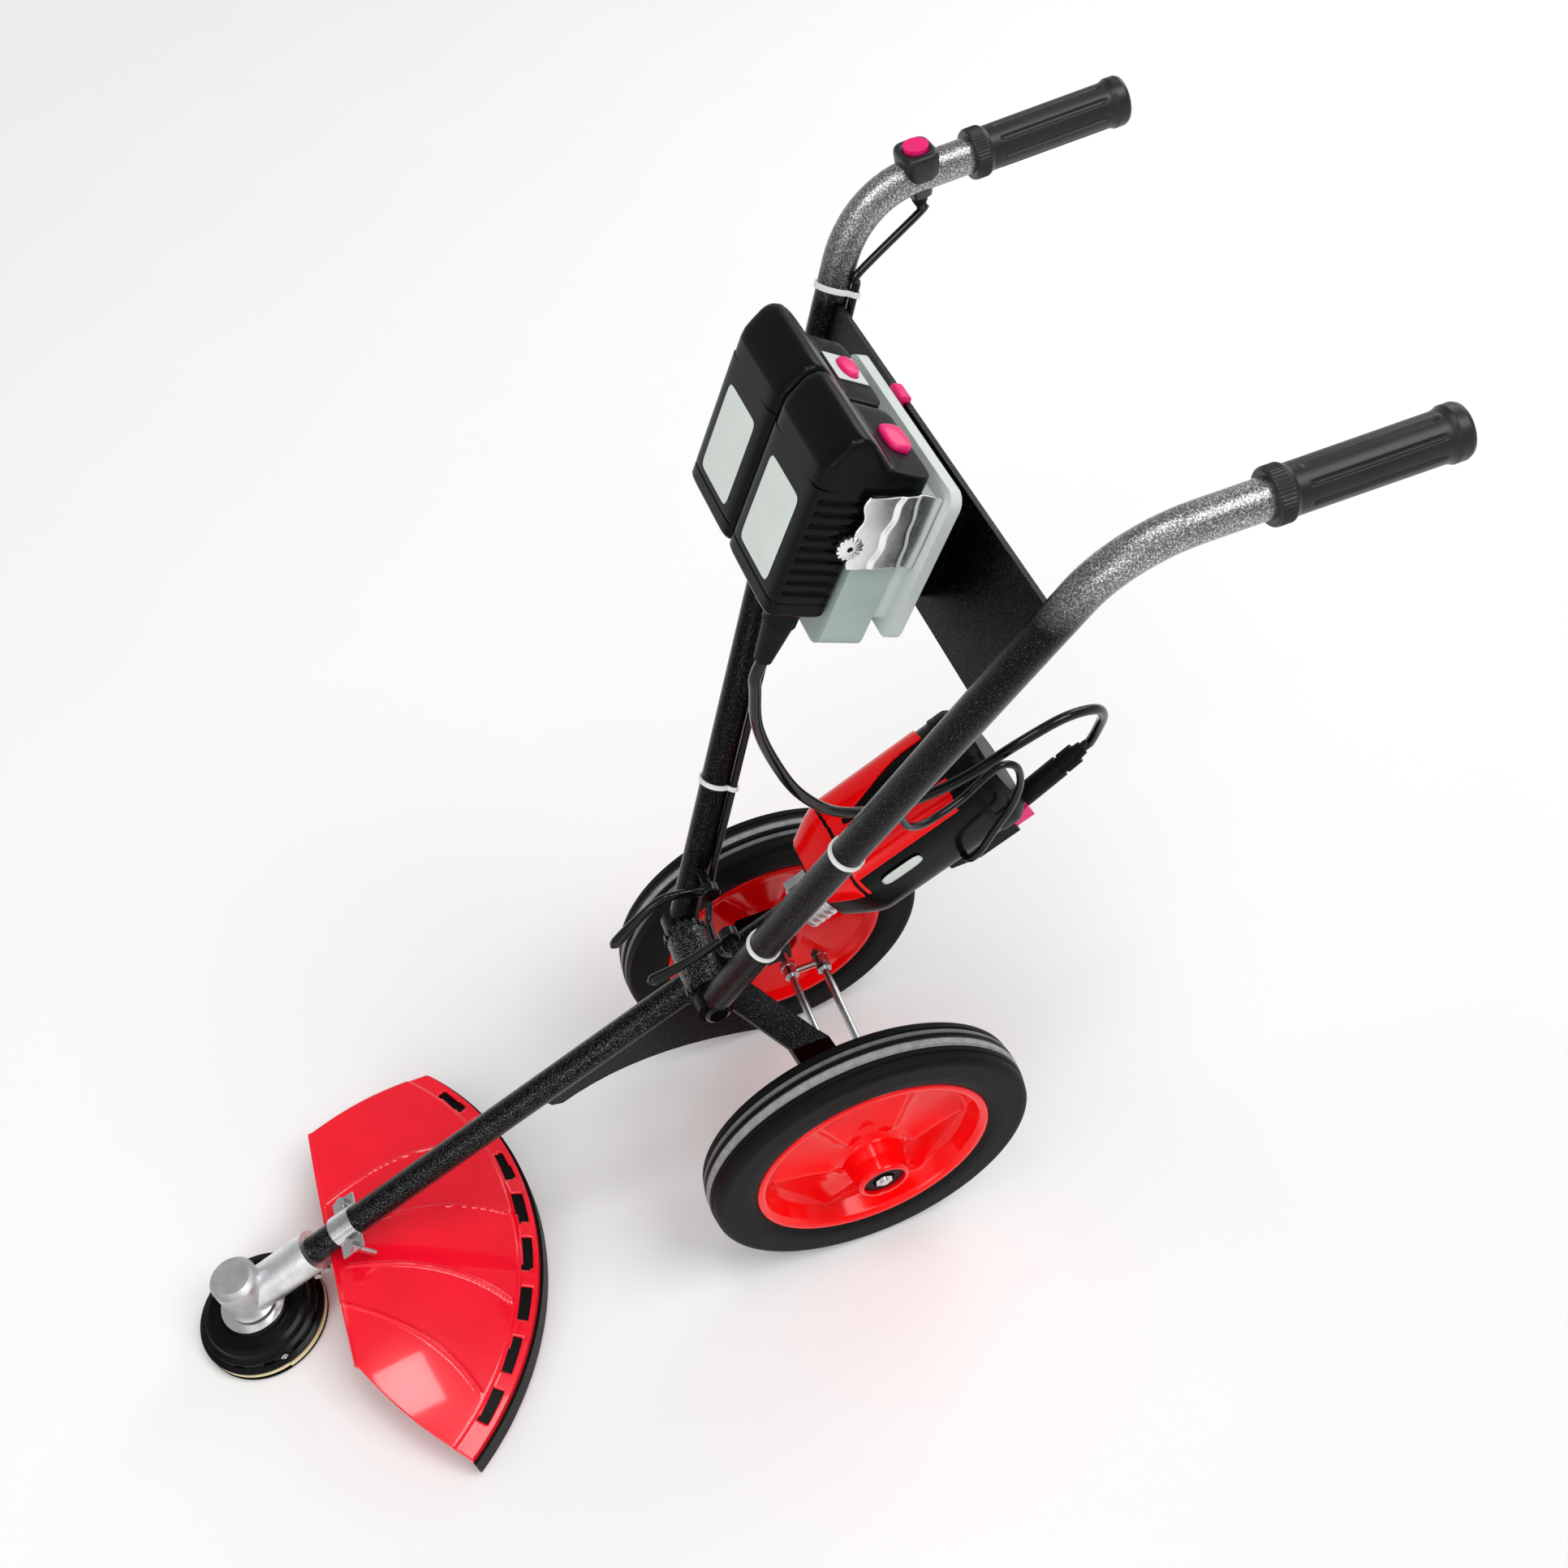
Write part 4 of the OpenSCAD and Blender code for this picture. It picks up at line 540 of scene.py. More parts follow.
class TRIMMER_OT_cables(bpy.types.Operator):
    """Lay the battery cable, the switch cable's loop and the switch cable as round bars on their routes"""
    bl_idname = "trimmer.cables"
    bl_label = "Cables"

    def execute(self, context):
        sizes = context.scene.trimmer_sizes
        plug_end = np.array([12, 253.8, 445.0])
        plug_way = np.array([0, 0.82413, 0.56641])
        power = np.vstack([
            plug_end + np.outer([0.3, 4, 8], plug_way),
            [[16, 264, 468], [24, 263, 494], [31, 250, 514], [37, 220, 524], [40, 180, 516],
             [42, 140, 503], [42, 100, 496], [42, 62, 500], [44, 28, 520], [47, 2, 560], [50, -14, 610],
             [54, -22, 655], [56.5, -20, 692]],
            on_handle(57.0, 97.0, np.array([375, 389.5]))])
        loop = np.vstack([
            beside_tube(1, 264), beside_tube(1, 275),
            [[94.5, 46, 577.5], [91.5, 56, 573.5], [88.5, 62.5, 560], [86, 66, 541], [83, 73, 523],
             [77, 89, 512], [67, 120, 510], [60, 145, 518], [58, 160, 522], [58, 172, 513],
             [58, 175, 491], [58.5, 168, 468], [60.5, 153, 448], [63, 138.5, 429.5],
             [59.8, 131.9, 420], [54, 130.1, 417.2], [49.3, 130, 417]]])
        self.lay("battery_cable", smooth(power), sizes.power_cable_d, ["power_cable"],
                 (42, 100, 496), (56.5, -20, 692))
        self.lay("switch_cable_slack", smooth(loop), sizes.switch_cable_d, ["switch_cable_loop"],
                 (58, 160, 522), (100, 35, 562))
        boot = SWITCH_BOOT * MIRROR
        mouth = -GRIP_UP * MIRROR
        along = np.vstack([
            boot + np.outer([0.3, 3, 6], mouth),
            [beside_tube(-1, s) for s in (548, 540, 520, 480, 300, 120, 66)],
            [on_handle(-24, -8, 36), on_handle(-9, -6, 31), on_handle(9, -6, 31), on_handle(24, -8, 36)],
            [beside_tube(1, s) for s in (66, 90, 120, 200, 262)]])
        piece("switch_cable_run", swept(smooth(along), 500 * sizes.switch_cable_d, 14),
              "Cable sheath", "handle", ["switch_cable"])
        return {"FINISHED"}

    def lay(self, name, route, diameter, nodes, start, end):
        """A cable between the chassis and the handlebar, laid as one fixed piece along its route."""
        cable = piece(name, swept(route, 500 * diameter, 18), "Cable sheath", None, nodes)
        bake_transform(cable)


class TRIMMER_OT_finishes(bpy.types.Operator):
    """Give every CAD node the finish of its material slot"""
    bl_idname = "trimmer.finishes"
    bl_label = "Finishes"

    def execute(self, context):
        by_slot = finishes()
        bright = {"cross_tube": "Hammered silver", "guard": "Crimson guard", "drive_tube": "Hammered drive",
                  "handle_tube_left": "Hammered bar", "handle_tube_right": "Hammered bar"}
        for part in FRAME["record"]["subparts"]:
            node = part["node"]
            look = bpy.data.materials[bright.get(node, by_slot[part["material_slot"]])]
            mesh = FRAME["nodes"][node].data
            if not mesh.materials:
                mesh.materials.append(look)
            for k in range(len(mesh.materials)):
                mesh.materials[k] = look
        return {"FINISHED"}


class TRIMMER_OT_wheels(bpy.types.Operator):
    """Turn the tyres and the ridged, dished rims about the axle, with a bush in each hub"""
    bl_idname = "trimmer.wheels"
    bl_label = "Wheels"

    def execute(self, context):
        for side, name in ((1, "left"), (-1, "right")):
            body = f"{name}_wheel"
            centre = np.array([side * WHEEL_X, 0, WHEEL_Z])
            piece(f"ribbed_tyre_{name}", self.tyre(centre, context), "Tyre rubber", body,
                  [f"tyre_{name}"], 30)
            piece(f"ridged_rim_{name}", self.rim(centre, side, context), "Red gloss", body,
                  [f"rim_{name}"], 50)
            keys = [(34.2, 9.6), (38.4, 9.8), (39.2, 10.6), (39.2, 16.4), (38.0, 18.4), (34.2, 18.6)]
            bush = turned(keys, centre, [side, 0, 0], 64)
            piece(f"hub_bush_{name}", bush, "Black matt", body, ())
        return {"FINISHED"}

    def tyre(self, centre, context):
        """Tread crowned 2 mm, with grooves beside its band and finer ones, and walls to the beads."""
        depth = 1000 * context.scene.trimmer_sizes.tread_groove
        across = np.linspace(-16, 16, 120)
        grooves = sum(np.exp(-(((across - g) / 1.1) ** 4)) for g in (-5.4, 5.4))
        grooves = grooves + 0.9 * sum(np.exp(-(((across - g) / 0.9) ** 4)) for g in (-12, 12))
        tread = np.stack([across, 150 - 2 * (across / 16) ** 2 - depth * grooves], -1)
        turn = np.linspace(0, np.pi / 2, 13)[1:]
        shoulder = np.stack([16 + 6 * np.sin(turn), 140 + 8 * np.cos(turn)], -1)
        wall = through([(22, 139), (22, 124), (21.2, 117), (19.4, 112.5), (18, 109.5), (0, 108.6)], 40)
        half = np.vstack([shoulder, wall])
        other = half[:-1][::-1] * np.array([-1, 1])
        profile = np.vstack([tread, half, other])
        return turned(profile, centre, [1, 0, 0], 288)

    def rim(self, centre, side, context):
        """Deep dish from a rolled lip to a tall hub, as (radius, outward) keys; ridges added by angle."""
        sizes = context.scene.trimmer_sizes
        ridge = 1000 * sizes.rim_ridge_high
        outer = through([(4.1, 34), (19, 34), (19.2, 41.2), (19.7, 42), (21.6, 42), (22.8, 41.2),
                         (23.6, 39.4), (25.6, 27), (28.6, 15), (33, 9.6), (40, 5.6), (60, 0.6), (80, -3),
                         (88, -4), (92, -3), (95.4, 1), (98.6, 10), (100.6, 16), (102.6, 19), (105, 20),
                         (107.6, 20), (109.2, 19.2), (110, 17.4)], 150)
        inner = through([(110, -17.4), (109.2, -19.2), (107.6, -20), (104, -20), (101.6, -18.4), (96, -13),
                         (88, -11.6), (60, -8.6), (34, -8), (29, -10), (27, -14), (25.4, -22.8), (24, -24),
                         (19.4, -24), (19, -16), (4.1, -16)], 110)
        keys = np.vstack([outer, inner])
        turn = np.linspace(0, 2 * np.pi, 288, endpoint=False)[:, None]
        nearest = np.abs((turn * sizes.rim_ridges / (2 * np.pi) + 0.5) % 1 - 0.5)
        away = keys[None, :, 0] * np.sin(nearest * 2 * np.pi / sizes.rim_ridges)
        star = ridge * np.exp(-((away / (5 + 0.09 * keys[None, :, 0])) ** 1.5))
        star = star * (step(29, 42, keys[:, 0]) * (1 - step(88, 99, keys[:, 0])))[None]
        x = side * (keys[None, :, 1] + star)
        spokes = np.stack([x, keys[None, :, 0] * np.cos(turn), keys[None, :, 0] * np.sin(turn)], -1)
        return grid(centre + spokes, around=True, along=True)


GUARD_R = 268
GUARD_LIP_ROWS = 14


class TRIMMER_OT_guard(bpy.types.Operator):
    """Form the guard: a patch between four edges, dished by radius, with raised lines and rim slots"""
    bl_idname = "trimmer.guard"
    bl_label = "Guard"

    def execute(self, context):
        line = 1000 * context.scene.trimmer_sizes.guard_line
        rows, cols = 221, 131
        u = np.linspace(0, 1, rows)[:, None]
        v = np.linspace(0, 1, cols)[None, :]
        left, right = math.radians(36), math.radians(129.9)
        turn = left + (right - left) * u[:, 0]
        rim = GUARD_R * np.stack([np.cos(turn), np.sin(turn)], -1)
        front = np.stack([111 - 243 * u[:, 0], 86 + 0 * u[:, 0]], -1)
        near = front[0] + (rim[0] - front[0]) * v[0][:, None]
        near = near + 5 * np.sin(np.pi * v[0])[:, None] * np.array([0.55, -0.83])
        far = front[-1] + (rim[-1] - front[-1]) * v[0][:, None]
        far = far + 6 * np.sin(np.pi * v[0])[:, None] * np.array([-0.94, -0.34])
        u3, v3 = u[..., None], v[..., None]
        flat = (1 - v3) * front[:, None] + v3 * rim[:, None] + (1 - u3) * near[None] + u3 * far[None]
        flat = flat - (1 - u3) * (1 - v3) * front[0] - (1 - u3) * v3 * rim[0]
        flat = flat - u3 * (1 - v3) * front[-1] - u3 * v3 * rim[-1]
        r = np.hypot(flat[..., 0], flat[..., 1])
        angle = np.degrees(np.arctan2(flat[..., 1], flat[..., 0]))
        high = self.dish(r)
        for rib in (58, 78, 98, 118):
            away = np.radians(angle - rib + 12 * (np.clip(r - 95, 0, None) / 160) ** 2) * r
            high = high + line * np.exp(-((away / 1.7) ** 4)) * step(96, 104, r) * (1 - step(246, 250, r))
        high = high - 1.6 * step(250, 253.5, r) + 1.8 * (1 - step(0, 0.035, v + 0 * u))
        drop = np.linspace(0, 1, GUARD_LIP_ROWS + 1)[1:]
        lip = np.concatenate([np.broadcast_to(rim[:, None], (rows, GUARD_LIP_ROWS, 2)),
                              (high[:, -1:] - 18 * drop[None])[..., None]], -1)
        shell = np.concatenate([np.concatenate([flat, high[..., None]], -1), lip], 1)
        shell = shell + np.array([0, HEAD_Y, 0])
        middle = 0.25 * (angle[1:, 1:] + angle[:-1, 1:] + angle[1:, :-1] + angle[:-1, :-1])
        out = 0.25 * (r[1:, 1:] + r[:-1, 1:] + r[1:, :-1] + r[:-1, :-1])
        slot = np.zeros_like(out, bool)
        for k in range(8):
            at = 46 + k * 10.6
            slot |= (np.abs(np.radians(middle - at) * out) < 16) & (np.abs(out - 258.5) < 4.6)
        keep = np.concatenate([~slot, np.ones((rows - 1, GUARD_LIP_ROWS), bool)], 1)
        guard = piece("dished_guard", grid(shell, keep=keep), "Crimson guard", "chassis",
                      ["guard"], 35, (0, 0, 1))
        thicken(guard, 0.003, -1)
        turn = np.radians(np.linspace(39, 127, 140))[None]
        r = np.array([251, 266, 266, 251.0])[:, None]
        low = self.dish(r) - np.array([5.0, 5.0, 6.6, 6.6])[:, None]
        band = np.stack([r * np.cos(turn), HEAD_Y + r * np.sin(turn), low + 0 * turn], -1)
        piece("skirt_flange", grid(band, around=True, ends=True), "Black matt", "chassis", ())
        return {"FINISHED"}

    def dish(self, r):
        """Height at a radius: it falls 44 mm from near the tube to the rim, faster further out."""
        return 84 - 44 * np.clip((r - 70) / (GUARD_R - 70), 0, 1) ** 1.6


class TRIMMER_OT_head(bpy.types.Operator):
    """Wind the trimmer line and the bump spring as helices, and press the eyelets into the head"""
    bl_idname = "trimmer.head"
    bl_label = "Cutting head"

    def execute(self, context):
        centre = np.array([0, HEAD_Y, 0])
        turn = np.linspace(0, 4 * np.pi, 193) + math.radians(15)
        r = 118 / 2 - 3.4 + 0.6 + 1.2
        wound = np.stack([r * np.cos(turn), r * np.sin(turn), 5.5 + 3 * np.linspace(0, 2, 193)], -1)
        piece("wound_line", swept(centre + wound, 1.2, 10, (0, 0, 1)), "Cream line", "head",
              ["trimmer_line"])
        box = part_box("bump_spring")
        low, high = 1000 * box[0][2] + 0.6, 1000 * box[1][2] - 0.6
        turn = np.linspace(0, 6 * np.pi, 145)
        coil = np.stack([12 * np.cos(turn), 12 * np.sin(turn), np.linspace(low, high, 145)], -1)
        spring = piece("coiled_spring", swept(centre + coil, 0.6, 8, (0, 0, 1)), "Bare steel", None,
                       ["bump_spring"])
        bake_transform(spring)
        for k in (0, 1):
            a = math.radians(15 + 180 * k)
            way = np.array([math.cos(a), math.sin(a), 0])
            ring = turned([(53.2, 1.5), (55.2, 1.5), (56.2, 2.1), (56.0, 3.6), (54.9, 3.7), (54.6, 2.4),
                           (53.2, 2.4)], centre + np.array([0, 0, 22]), way, 32)
            piece(f"line_eyelet_{k + 1}", ring, "Bare steel", "head", ())
        return {"FINISHED"}


class TRIMMER_OT_motor(bpy.types.Operator):
    """Loft the motor's body from rounded sections along the drive tube, with raised panels and louvres"""
    bl_idname = "trimmer.motor"
    bl_label = "Motor"

    def execute(self, context):
        body = self.skin(0.0, np.linspace(677, 851, 120), 160)
        piece("motor_body", grid(body, around=True, ends=True), "Black gloss", "chassis",
              ["motor_housing"], 50)
        along = np.linspace(679, 830, 170)
        shell = self.skin(1.6, along, 360)
        x, under, t = self.local(shell)
        top = under < np.where(t < 715, -29, -47)
        wedge = (np.abs(x + 2) < 3 + 20 * step(724, 800, t)) & (t > 728)
        seam = np.abs(t - 715 + 0.1 * np.abs(x)) < 1.2
        red = top & ~wedge & ~seam & (t < 824 - 0.25 * np.abs(x))
        keep = red[:, 1:] & red[:, :-1]
        keep = keep & np.roll(keep, -1, 0)
        panels = piece("motor_panels", grid(shell, around=True, keep=keep), "Red gloss", "chassis",
                       ["motor_cover"], 50, -UNDER)
        thicken(panels, 0.0022, -1)
        edge = panels.modifiers.new("Edge", "BEVEL")
        edge.width = 0.0006
        edge.segments = 2
        edge.limit_method = "ANGLE"
        rear = self.skin(1.2, np.linspace(826, 852, 52), 200)
        x, under, t = self.local(rear)
        centre = rear.mean(0, keepdims=True)
        louvre = step(0.2, 0.6, np.sin(0.42 * x)) * (under < -20)
        louvre = louvre * step(830, 833, t) * (1 - step(848, 850, t))
        rear = rear - 0.03 * louvre[..., None] * (rear - centre)
        piece("motor_rear_louvres", grid(rear, around=True, ends=True), "Black matt", "chassis",
              ["motor_rear_cap"], 45)
        size = np.linspace(0.02, 1, 6)[None]
        long, high = box_loop(19, 6.5, 4, 48)
        spot = on_drive(49.3 + 0.5 * (1 - size**6), -31 + high[:, None] * size,
                        746 + long[:, None] * size)
        piece("motor_badge_spot", grid(spot, around=True, ends=True), "Sticker", "chassis", (),
              60)
        return {"FINISHED"}

    def skin(self, proud, along, count):
        """Rounded sections: half width and height grow from the coupling and close at the rear."""
        grow = step(672, 716, along) ** 0.7
        close = 1 - 0.16 * step(836, 853, along) ** 2
        wide = (30 + 18.4 * grow) * close + proud
        tall = (30 + 12.4 * grow) * close + proud
        x, h = box_loop(wide, tall, 3.4, count)
        return on_drive(x, -17 + h, along[None])

    def local(self, points):
        """Across, under and along the drive tube, of points."""
        away = points - GEARS
        return away[..., 0], away @ UNDER, away @ TUBE


class TRIMMER_OT_batteries(bpy.types.Operator):
    """Loft the two packs from rounded sections that reach back over the cradle, with stickers and slits"""
    bl_idname = "trimmer.batteries"
    bl_label = "Battery packs"

    def execute(self, context):
        for side, name, body in ((1, "left", "handle"), (-1, "right", "battery_right")):
            pack = piece(f"rounded_pack_{name}", self.pack(side), "Black gloss", body,
                         [f"battery_pack_{name}"], 50)
            carve(pack, self.pocket(side, name))
            u = np.linspace(-1, 1, 25)[:, None]
            v = np.linspace(-1, 1, 33)[None]
            soft = (1 - np.abs(u) ** 10) * (1 - np.abs(v) ** 10)
            sticker = on_handle(PACK_X * side + 25 * u, 119.9 + 0.5 * soft, 488.5 + 35 * v)
            piece(f"bare_sticker_{name}", grid(sticker), "Sticker", body, (), 60, OFF)
        self.panel()
        self.bracket()
        return {"FINISHED"}

    def panel(self):
        """Pale panel over the far pack's latch ledge, whose slope it follows, cut out for the button."""
        off = np.linspace(46.5, 70, 13)[None]
        x = np.linspace(-53, -23, 17)[:, None]
        top = LATCH_UP + 4 * (off - 44.5) / 28 + 0.15
        sheet = np.stack([on_handle(x, off, top + lift) for lift in (0, 0.7)])
        ring = np.concatenate([sheet[0], sheet[1][:, ::-1]], 1)
        panel = piece("latch_panel", grid(np.swapaxes(ring, 0, 1), around=True, ends=True), "Pale grey",
                      "battery_right", (), 40)
        carve(panel, self.pocket(-1, "right"))

    def bracket(self):
        """Plated bracket beside the cradle: a folded sheet with a wavy front edge and a ribbed knob."""
        u = np.linspace(0, 1, 90)[:, None]
        v = np.linspace(0, 1, 60)[None]
        front = 82 + 1.6 * np.sin(16 * u) + 5 * u
        fold = 1.9 * step(0.2, 0.3, v - 0.1 * u) - 1.3 * step(0.64, 0.7, v + 0.12 * u)
        fold = fold + 0.3 * np.sin(5 * u + 2 * v)
        sheet = on_handle(79.4 + fold, 36 + (front - 36) * v, 486 + 53 * u + 2 * np.sin(5 * v))
        bracket = piece("folded_bracket", grid(sheet), "Bright plate", "handle", ["cradle_side_bracket"],
                        60, (1, 0, 0))
        thicken(bracket, 0.0016, 0)

        def ribs(turn, along):
            """Fourteen ribs round the knob, which fade at its two faces."""
            return 0.7 * np.cos(14 * turn) * step(0.1, 0.5, along) * step(3.9, 3.5, along)

        knob = turned([(0, 2), (0, 7.4), (0.6, 8.2), (3.4, 8.2), (4, 7.4), (4, 2)],
                      on_handle(78.0, 86.0, 500.0), [1, 0, 0], 120, True, ribs)
        piece("ribbed_knob", knob, "Bright plate", "handle", (), 50)

    def pocket(self, side, name):
        """Cutter for a release button's pocket, 0.4 mm clear of the button."""
        half_x, half_h, power = RELEASES[name]
        x, h = box_loop(half_x + 0.4, half_h + 0.4, power, 64)
        up = np.array([LATCH_UP - 8.6, LATCH_UP + 40])
        walls = on_handle(PACK_X * side + x[:, None], LATCH_OFF + h[:, None], up[None])
        return grid(walls, around=True, ends=True)

    def pack(self, side):
        """Oblong sections up 132 mm: the front leans back, and the back steps out over the cradle."""
        up = np.concatenate([[440.0, 440.2, 440.8, 442], np.linspace(443, 535.6, 150),
                             np.linspace(536.2, 566, 60), [568, 569.6, 571, 571.8, 572]])
        inset = np.interp(up, [440, 440.2, 440.8, 442, 443, 566, 568, 569.6, 571, 571.8, 572],
                          [4, 2.4, 1.2, 0.4, 0, 0, 0.3, 1, 2, 3.2, 4.4])
        front = 120.2 - 14 * np.clip((up - 548) / 24, 0, 1) ** 1.3 - inset
        back = np.interp(up, [440, 535.8, 536, 549, 553, 572], [77.4, 77.4, 44.4, 44.6, 72.4, 94.4]) + inset
        half_x = 37.4 - inset
        half_h = (front - back) / 2
        x, h = box_loop(half_x, half_h, 9, 128)
        slit = sum(np.exp(-(((up - k) / 1.7) ** 4)) for k in np.linspace(460, 528, 9))
        outer = step(0.985, 0.999, side * x / half_x) * step(0.8, 0.7, np.abs(h / half_h))
        x = x - side * 2.2 * slit[None] * outer
        seam = 0.7 * np.exp(-(((up - 452) / 0.8) ** 4))[None]
        place = on_handle(PACK_X * side + x * (1 - seam / 38),
                          (front + back) / 2 + h * (1 - seam / 21), up[None])
        return grid(place, around=True, ends=True)


class TRIMMER_OT_handle(bpy.types.Operator):
    """Turn the fluted grips along the bar ends"""
    bl_idname = "trimmer.handle"
    bl_label = "Handlebar"

    def execute(self, context):
        flutes = context.scene.trimmer_sizes.grip_flutes
        keys = [(86, 12.6), (86, 16.4), (87, 17.2), (97, 17.2), (98.4, 16.2), (99.6, 15.4), (104, 15.4),
                (192, 15.6), (195, 16.4), (196.5, 17.2), (203, 17.2), (205.2, 16.2), (206, 13.5), (206, 1)]
        profile = through(keys, 220)

        def flute(turn, along):
            """Long grooves on the middle of the grip and a fine knurl on its inner collar."""
            groove = -1.5 * step(0.55, 0.9, np.cos(flutes * turn)) * step(106, 110, along)
            groove = groove * (1 - step(186, 190, along))
            knurl = 0.35 * np.cos(48 * turn) * step(87, 88, along) * (1 - step(96, 97, along))
            return groove + knurl

        for side, name in ((1, "left"), (-1, "right")):
            flip = np.array([side, 1, 1])
            shape = turned(profile, CORNER * flip, GRIP * flip, 240, False, flute)
            piece(f"fluted_grip_{name}", shape, "Grip rubber", "handle", [f"grip_{name}"],
                  50)
        return {"FINISHED"}


class TRIMMER_OT_levers(bpy.types.Operator):
    """Sweep the two lock levers from their eyes on the pivot bolts to rounded tips"""
    bl_idname = "trimmer.levers"
    bl_label = "Lock levers"

    def execute(self, context):
        lines = {"left": (1, [[0, 63], [9, 53], [23, 38], [39, 23], [56, 10]]),
                 "right": (-1, [[0, 63], [20, 63], [43, 55], [58, 28], [70, -2]])}
        for name, (side, line) in lines.items():
            line = np.array(line, float)
            route = smooth(on_handle(24.0 * side, line[:, 0], line[:, 1]), 8)
            run = np.linspace(0, 1, len(route))
            bar = 4.2 + 1.3 * step(0.55, 0.95, run)
            bar = bar * np.sqrt(np.clip(1 - np.clip((run - 0.93) / 0.072, 0, 1) ** 2, 0.02, 1))
            piece(f"lever_bar_{name}", swept(route, bar, 20, (1, 0, 0), 0.82), "Lever black",
                  f"{name}_lever", [f"lock_lever_{name}"], 60)
            eye = turned([(-4.5, 3.2), (-4.5, 7.6), (-3.7, 8.5), (3.7, 8.5), (4.5, 7.6), (4.5, 3.2)],
                         on_handle(24.0 * side, 0.0, 63.0), [1, 0, 0], 48)
            piece(f"lever_eye_{name}", eye, "Lever black", f"{name}_lever", ())
        return {"FINISHED"}


class TRIMMER_OT_buttons(bpy.types.Operator):
    """Dome the release buttons, fold the clip over the plate's edge and taper the switch housing"""
    bl_idname = "trimmer.buttons"
    bl_label = "Buttons and clip"

    def execute(self, context):
        for side, name in ((1, "left"), (-1, "right")):
            half_x, half_h, power = RELEASES[name]
            size = np.array([1, 1, 0.99, 0.95, 0.88, 0.76, 0.5, 0.04])
            up = LATCH_UP + np.array([-5, 3, 4.2, 5.0, 5.5, 5.8, 6, 6])
            x, h = box_loop(half_x, half_h, power, 64)
            dome = on_handle(PACK_X * side + x[:, None] * size, LATCH_OFF + h[:, None] * size, up[None])
            piece(f"domed_release_{name}", grid(dome, around=True, ends=True), "Pink gloss",
                  f"{name}_release", [f"release_button_{name}"], 60)
        size = np.array([0.9, 0.98, 1, 1, 0.98, 0.9])
        along = np.array([-8.2, -7.8, -7, 7, 7.8, 8.2])
        h, up = box_loop(4.6, 5.2, 5, 48)
        clip = on_handle(-50 + along[None], 2.5 + h[:, None] * size, 528 + up[:, None] * size)
        piece("plate_edge_clip", grid(clip, around=True, ends=True), "Pink gloss", "handle", (),
              50)
        self.switch()
        return {"FINISHED"}

    def switch(self):
        """Switch housing: rounded sections that taper below the bar, with a pocket on top and a boot."""
        centre = SWITCH * MIRROR
        along, up = GRIP * MIRROR, GRIP_UP * MIRROR
        across = np.cross(along, up)
        at = np.array([-15.4, -14.4, -6, 2, 8, 15, 17.6, 18.9, 19.4])
        size = np.array([0.5, 0.57, 0.66, 0.88, 0.98, 1, 0.97, 0.9, 0.8])
        x, z = box_loop(15.3, 13.3, 4, 72)
        walls = centre + (x[:, None] * size)[..., None] * across + (z[:, None] * size)[..., None] * along
        walls = walls + (at[None] + 0 * x[:, None])[..., None] * up
        housing = piece("tapered_switch", grid(walls, around=True, ends=True), "Grip rubber", "handle",
                        ["switch_housing"], 50)
        carve(housing, turned([(13.5, 0.1), (13.5, 9.4), (30, 9.4), (30, 0.1)], centre, up, 64, False))
        keys = [(-15, 0.5), (-15, 6.6), (-16.5, 7), (-19, 5.4), (-20, 5.6), (-23.4, 4), (-23.4, 0.5)]
        boot = turned(keys, centre, up, 40, False)
        piece("switch_boot", boot, "Black rubber", "handle", (), 50)


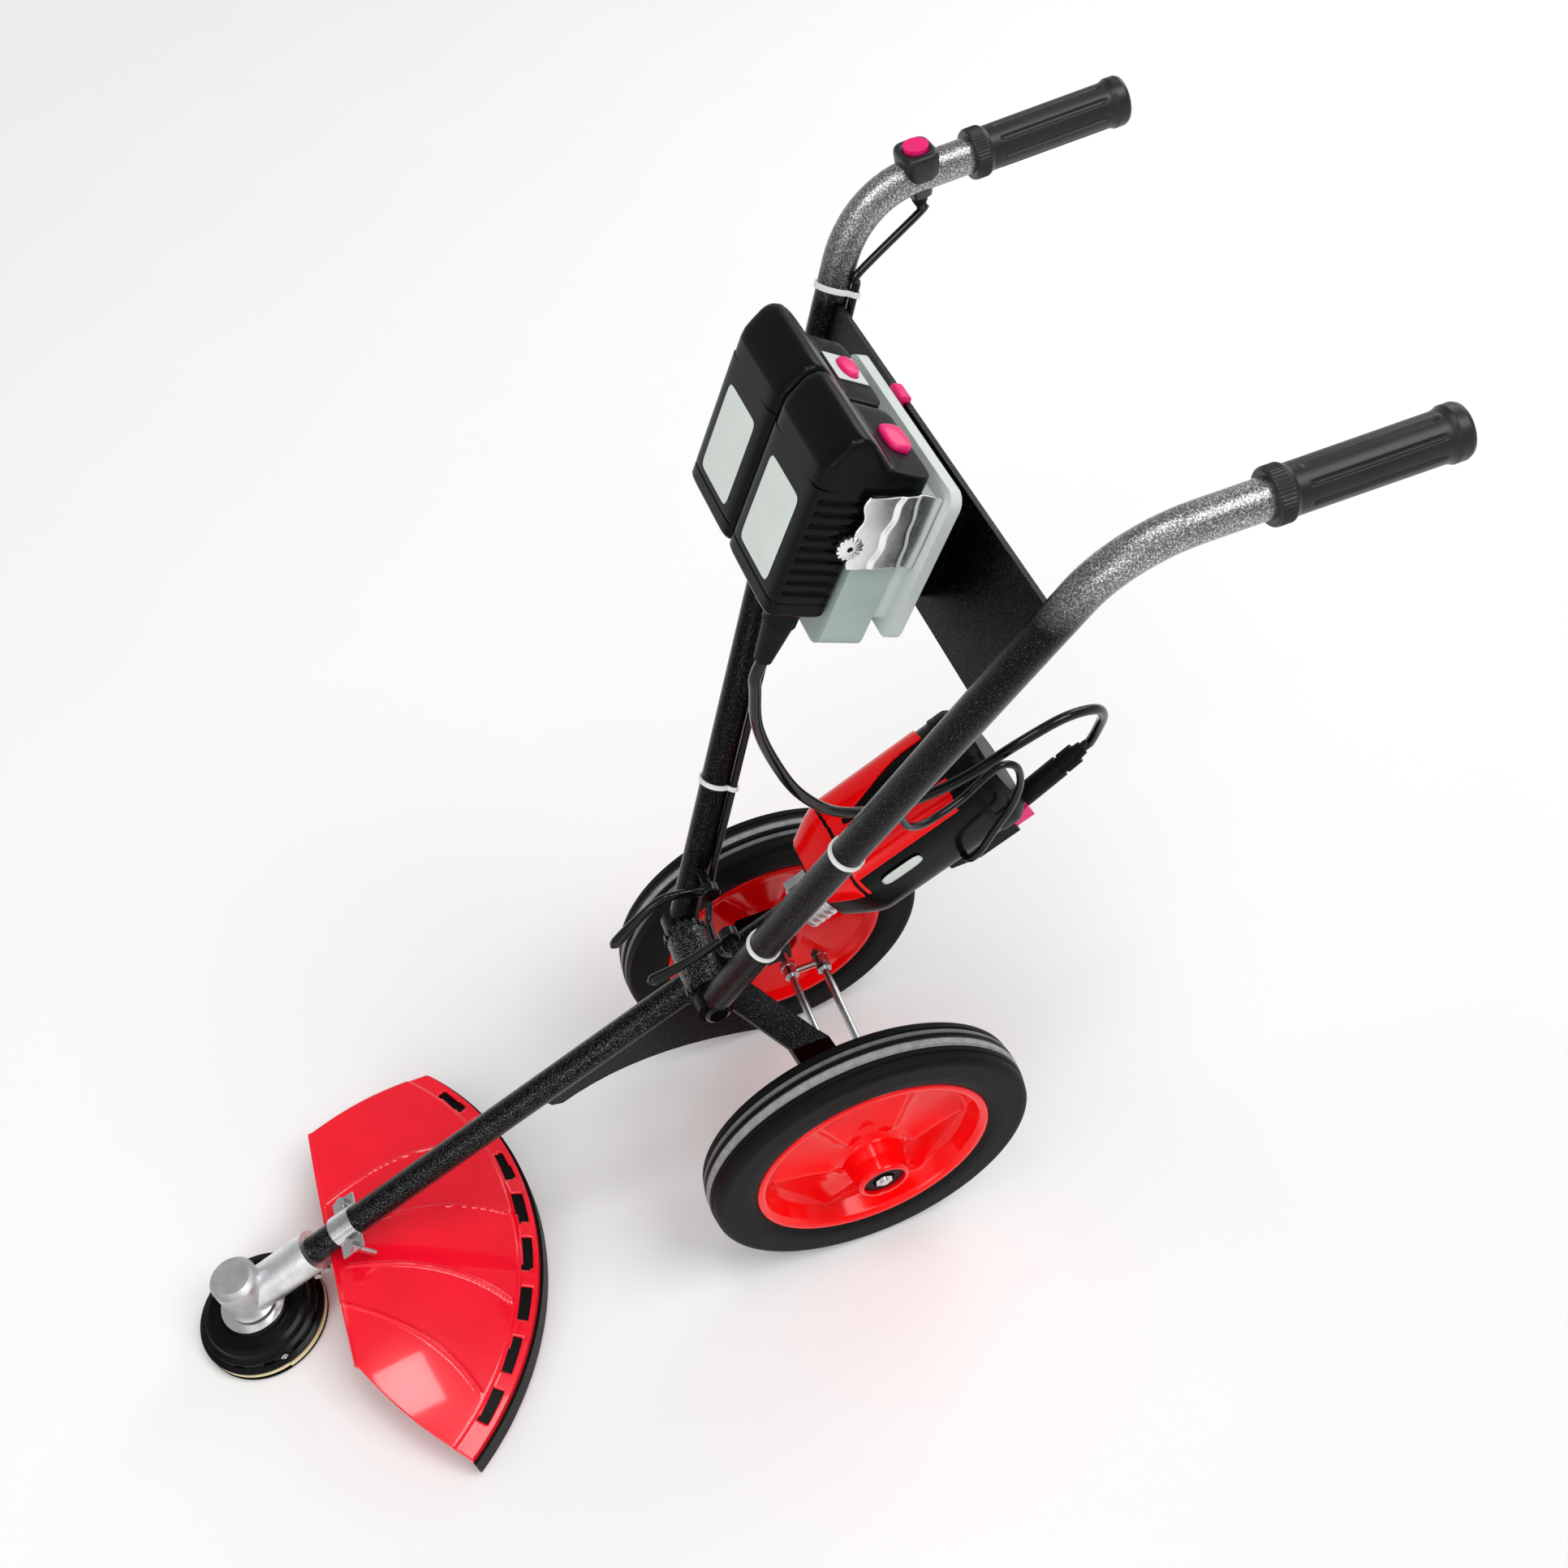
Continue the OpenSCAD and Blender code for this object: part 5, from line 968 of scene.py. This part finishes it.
class TRIMMER_OT_stage(bpy.types.Operator):
    """Lay a pale floor under soft lamps, in a world that is pale at the horizon and dim overhead"""
    bl_idname = "trimmer.stage"
    bl_label = "Stage"

    def execute(self, context):
        scene = context.scene
        half = scene.trimmer_sizes.floor / 2
        mesh = bpy.data.meshes.new("studio_floor")
        corners = [(-half, -half, 0), (half, -half, 0), (half, half, 0), (-half, half, 0)]
        mesh.from_pydata(corners, [], [(0, 1, 2, 3)])
        mat, tree, shader, place = nodes_of("Studio paper")
        tone = noise(tree, place, 3, 2.0, 0.5)
        paper = ramp(tree, tone, [(0.0, (0.93, 0.93, 0.93)), (1.0, (0.95, 0.95, 0.95))])
        feed(tree, shader, {"Base Color": paper, "Roughness": 0.9, "Specular IOR Level": 0.1})
        mesh.materials.append(mat)
        floor = bpy.data.objects.new("studio_floor", mesh)
        scene.collection.objects.link(floor)
        self.sun("Key lamp", (-0.35, -0.5, -1.0), 1.3, 30)
        self.sun("Fill lamp", (-0.7, 0.55, -1.0), 0.5, 70)
        self.lamp("Side lamp", (2.2, -1.9, 1.5), 1.2, 14)
        self.lamp("Back lamp", (-1.4, 2.2, 1.9), 1.4, 16)
        self.lamp("Top lamp", (0.1, 0.02, 2.1), 0.35, 4)
        world = bpy.data.worlds.new("Studio")
        world.use_nodes = True
        scene.world = world
        tree = world.node_tree
        way = tree.nodes.new("ShaderNodeTexCoord").outputs["Generated"]
        height = add(tree, "SeparateXYZ", {"Vector": way}).outputs["Z"]
        level = add(tree, "MapRange", {"From Min": 0.02, "From Max": 0.5, "To Min": 0.6, "To Max": 0.34,
                                       "Value": height})
        feed(tree, tree.nodes["Background"], {"Color": (1, 1, 1, 1), "Strength": level.outputs["Result"]})
        scene.view_settings.view_transform = "Standard"
        return {"FINISHED"}

    def sun(self, name, way, level, spread):
        """A broad even lamp that shines one way, its spread in degrees."""
        light = bpy.data.lights.new(name, "SUN")
        light.angle = math.radians(spread)
        self.aim(light, level, np.array([0, 0, 3.0]), np.array(way, float))

    def lamp(self, name, place, size, watts):
        """A square soft lamp aimed at the middle of the part."""
        light = bpy.data.lights.new(name, "AREA")
        light.size = size
        self.aim(light, watts, np.array(place), np.array([0, 0, 0.3]) - np.array(place))

    def aim(self, light, energy, place, way):
        """Set a lamp of an energy at a place so that it shines along a direction."""
        light.energy = energy
        lamp = bpy.data.objects.new(light.name, light)
        bpy.context.scene.collection.objects.link(lamp)
        way = way / np.linalg.norm(way)
        side = np.cross(way, [0, 0, 1.0])
        side = side / np.linalg.norm(side)
        frame = np.eye(4)
        frame[:3, :3] = np.stack([side, np.cross(side, way), -way], 1)
        frame[:3, 3] = place
        lamp.matrix_world = Matrix(frame.tolist())


class TRIMMER_PT_panel(bpy.types.Panel):
    """The trimmer's pieces, sizes and colours"""
    bl_idname = "TRIMMER_PT_panel"
    bl_label = "Wheeled string trimmer"
    bl_space_type = "VIEW_3D"
    bl_region_type = "UI"
    bl_category = "Trimmer"

    def draw(self, context):
        for operator in OPERATORS:
            self.layout.operator(operator.bl_idname)
        for group in (context.scene.trimmer_sizes, context.scene.trimmer_colours):
            box = self.layout.box()
            for name in group.__annotations__:
                box.prop(group, name)


OPERATORS = [
    TRIMMER_OT_camera, TRIMMER_OT_cables, TRIMMER_OT_finishes, TRIMMER_OT_wheels, TRIMMER_OT_guard,
    TRIMMER_OT_head, TRIMMER_OT_motor, TRIMMER_OT_batteries, TRIMMER_OT_buttons, TRIMMER_OT_handle,
    TRIMMER_OT_levers, TRIMMER_OT_stage]
CLASSES = [TrimmerSizes, TrimmerColours, *OPERATORS, TRIMMER_PT_panel]


def register():
    for cls in CLASSES:
        bpy.utils.register_class(cls)
    bpy.types.Scene.trimmer_sizes = bpy.props.PointerProperty(type=TrimmerSizes)
    bpy.types.Scene.trimmer_colours = bpy.props.PointerProperty(type=TrimmerColours)


def unregister():
    del bpy.types.Scene.trimmer_colours
    del bpy.types.Scene.trimmer_sizes
    for cls in reversed(CLASSES):
        bpy.utils.unregister_class(cls)


def main():
    """Build every piece in order."""
    register()
    for operator in OPERATORS:
        group, name = operator.bl_idname.split(".")
        getattr(getattr(bpy.ops, group), name)()


if __name__ == "__main__":
    main()
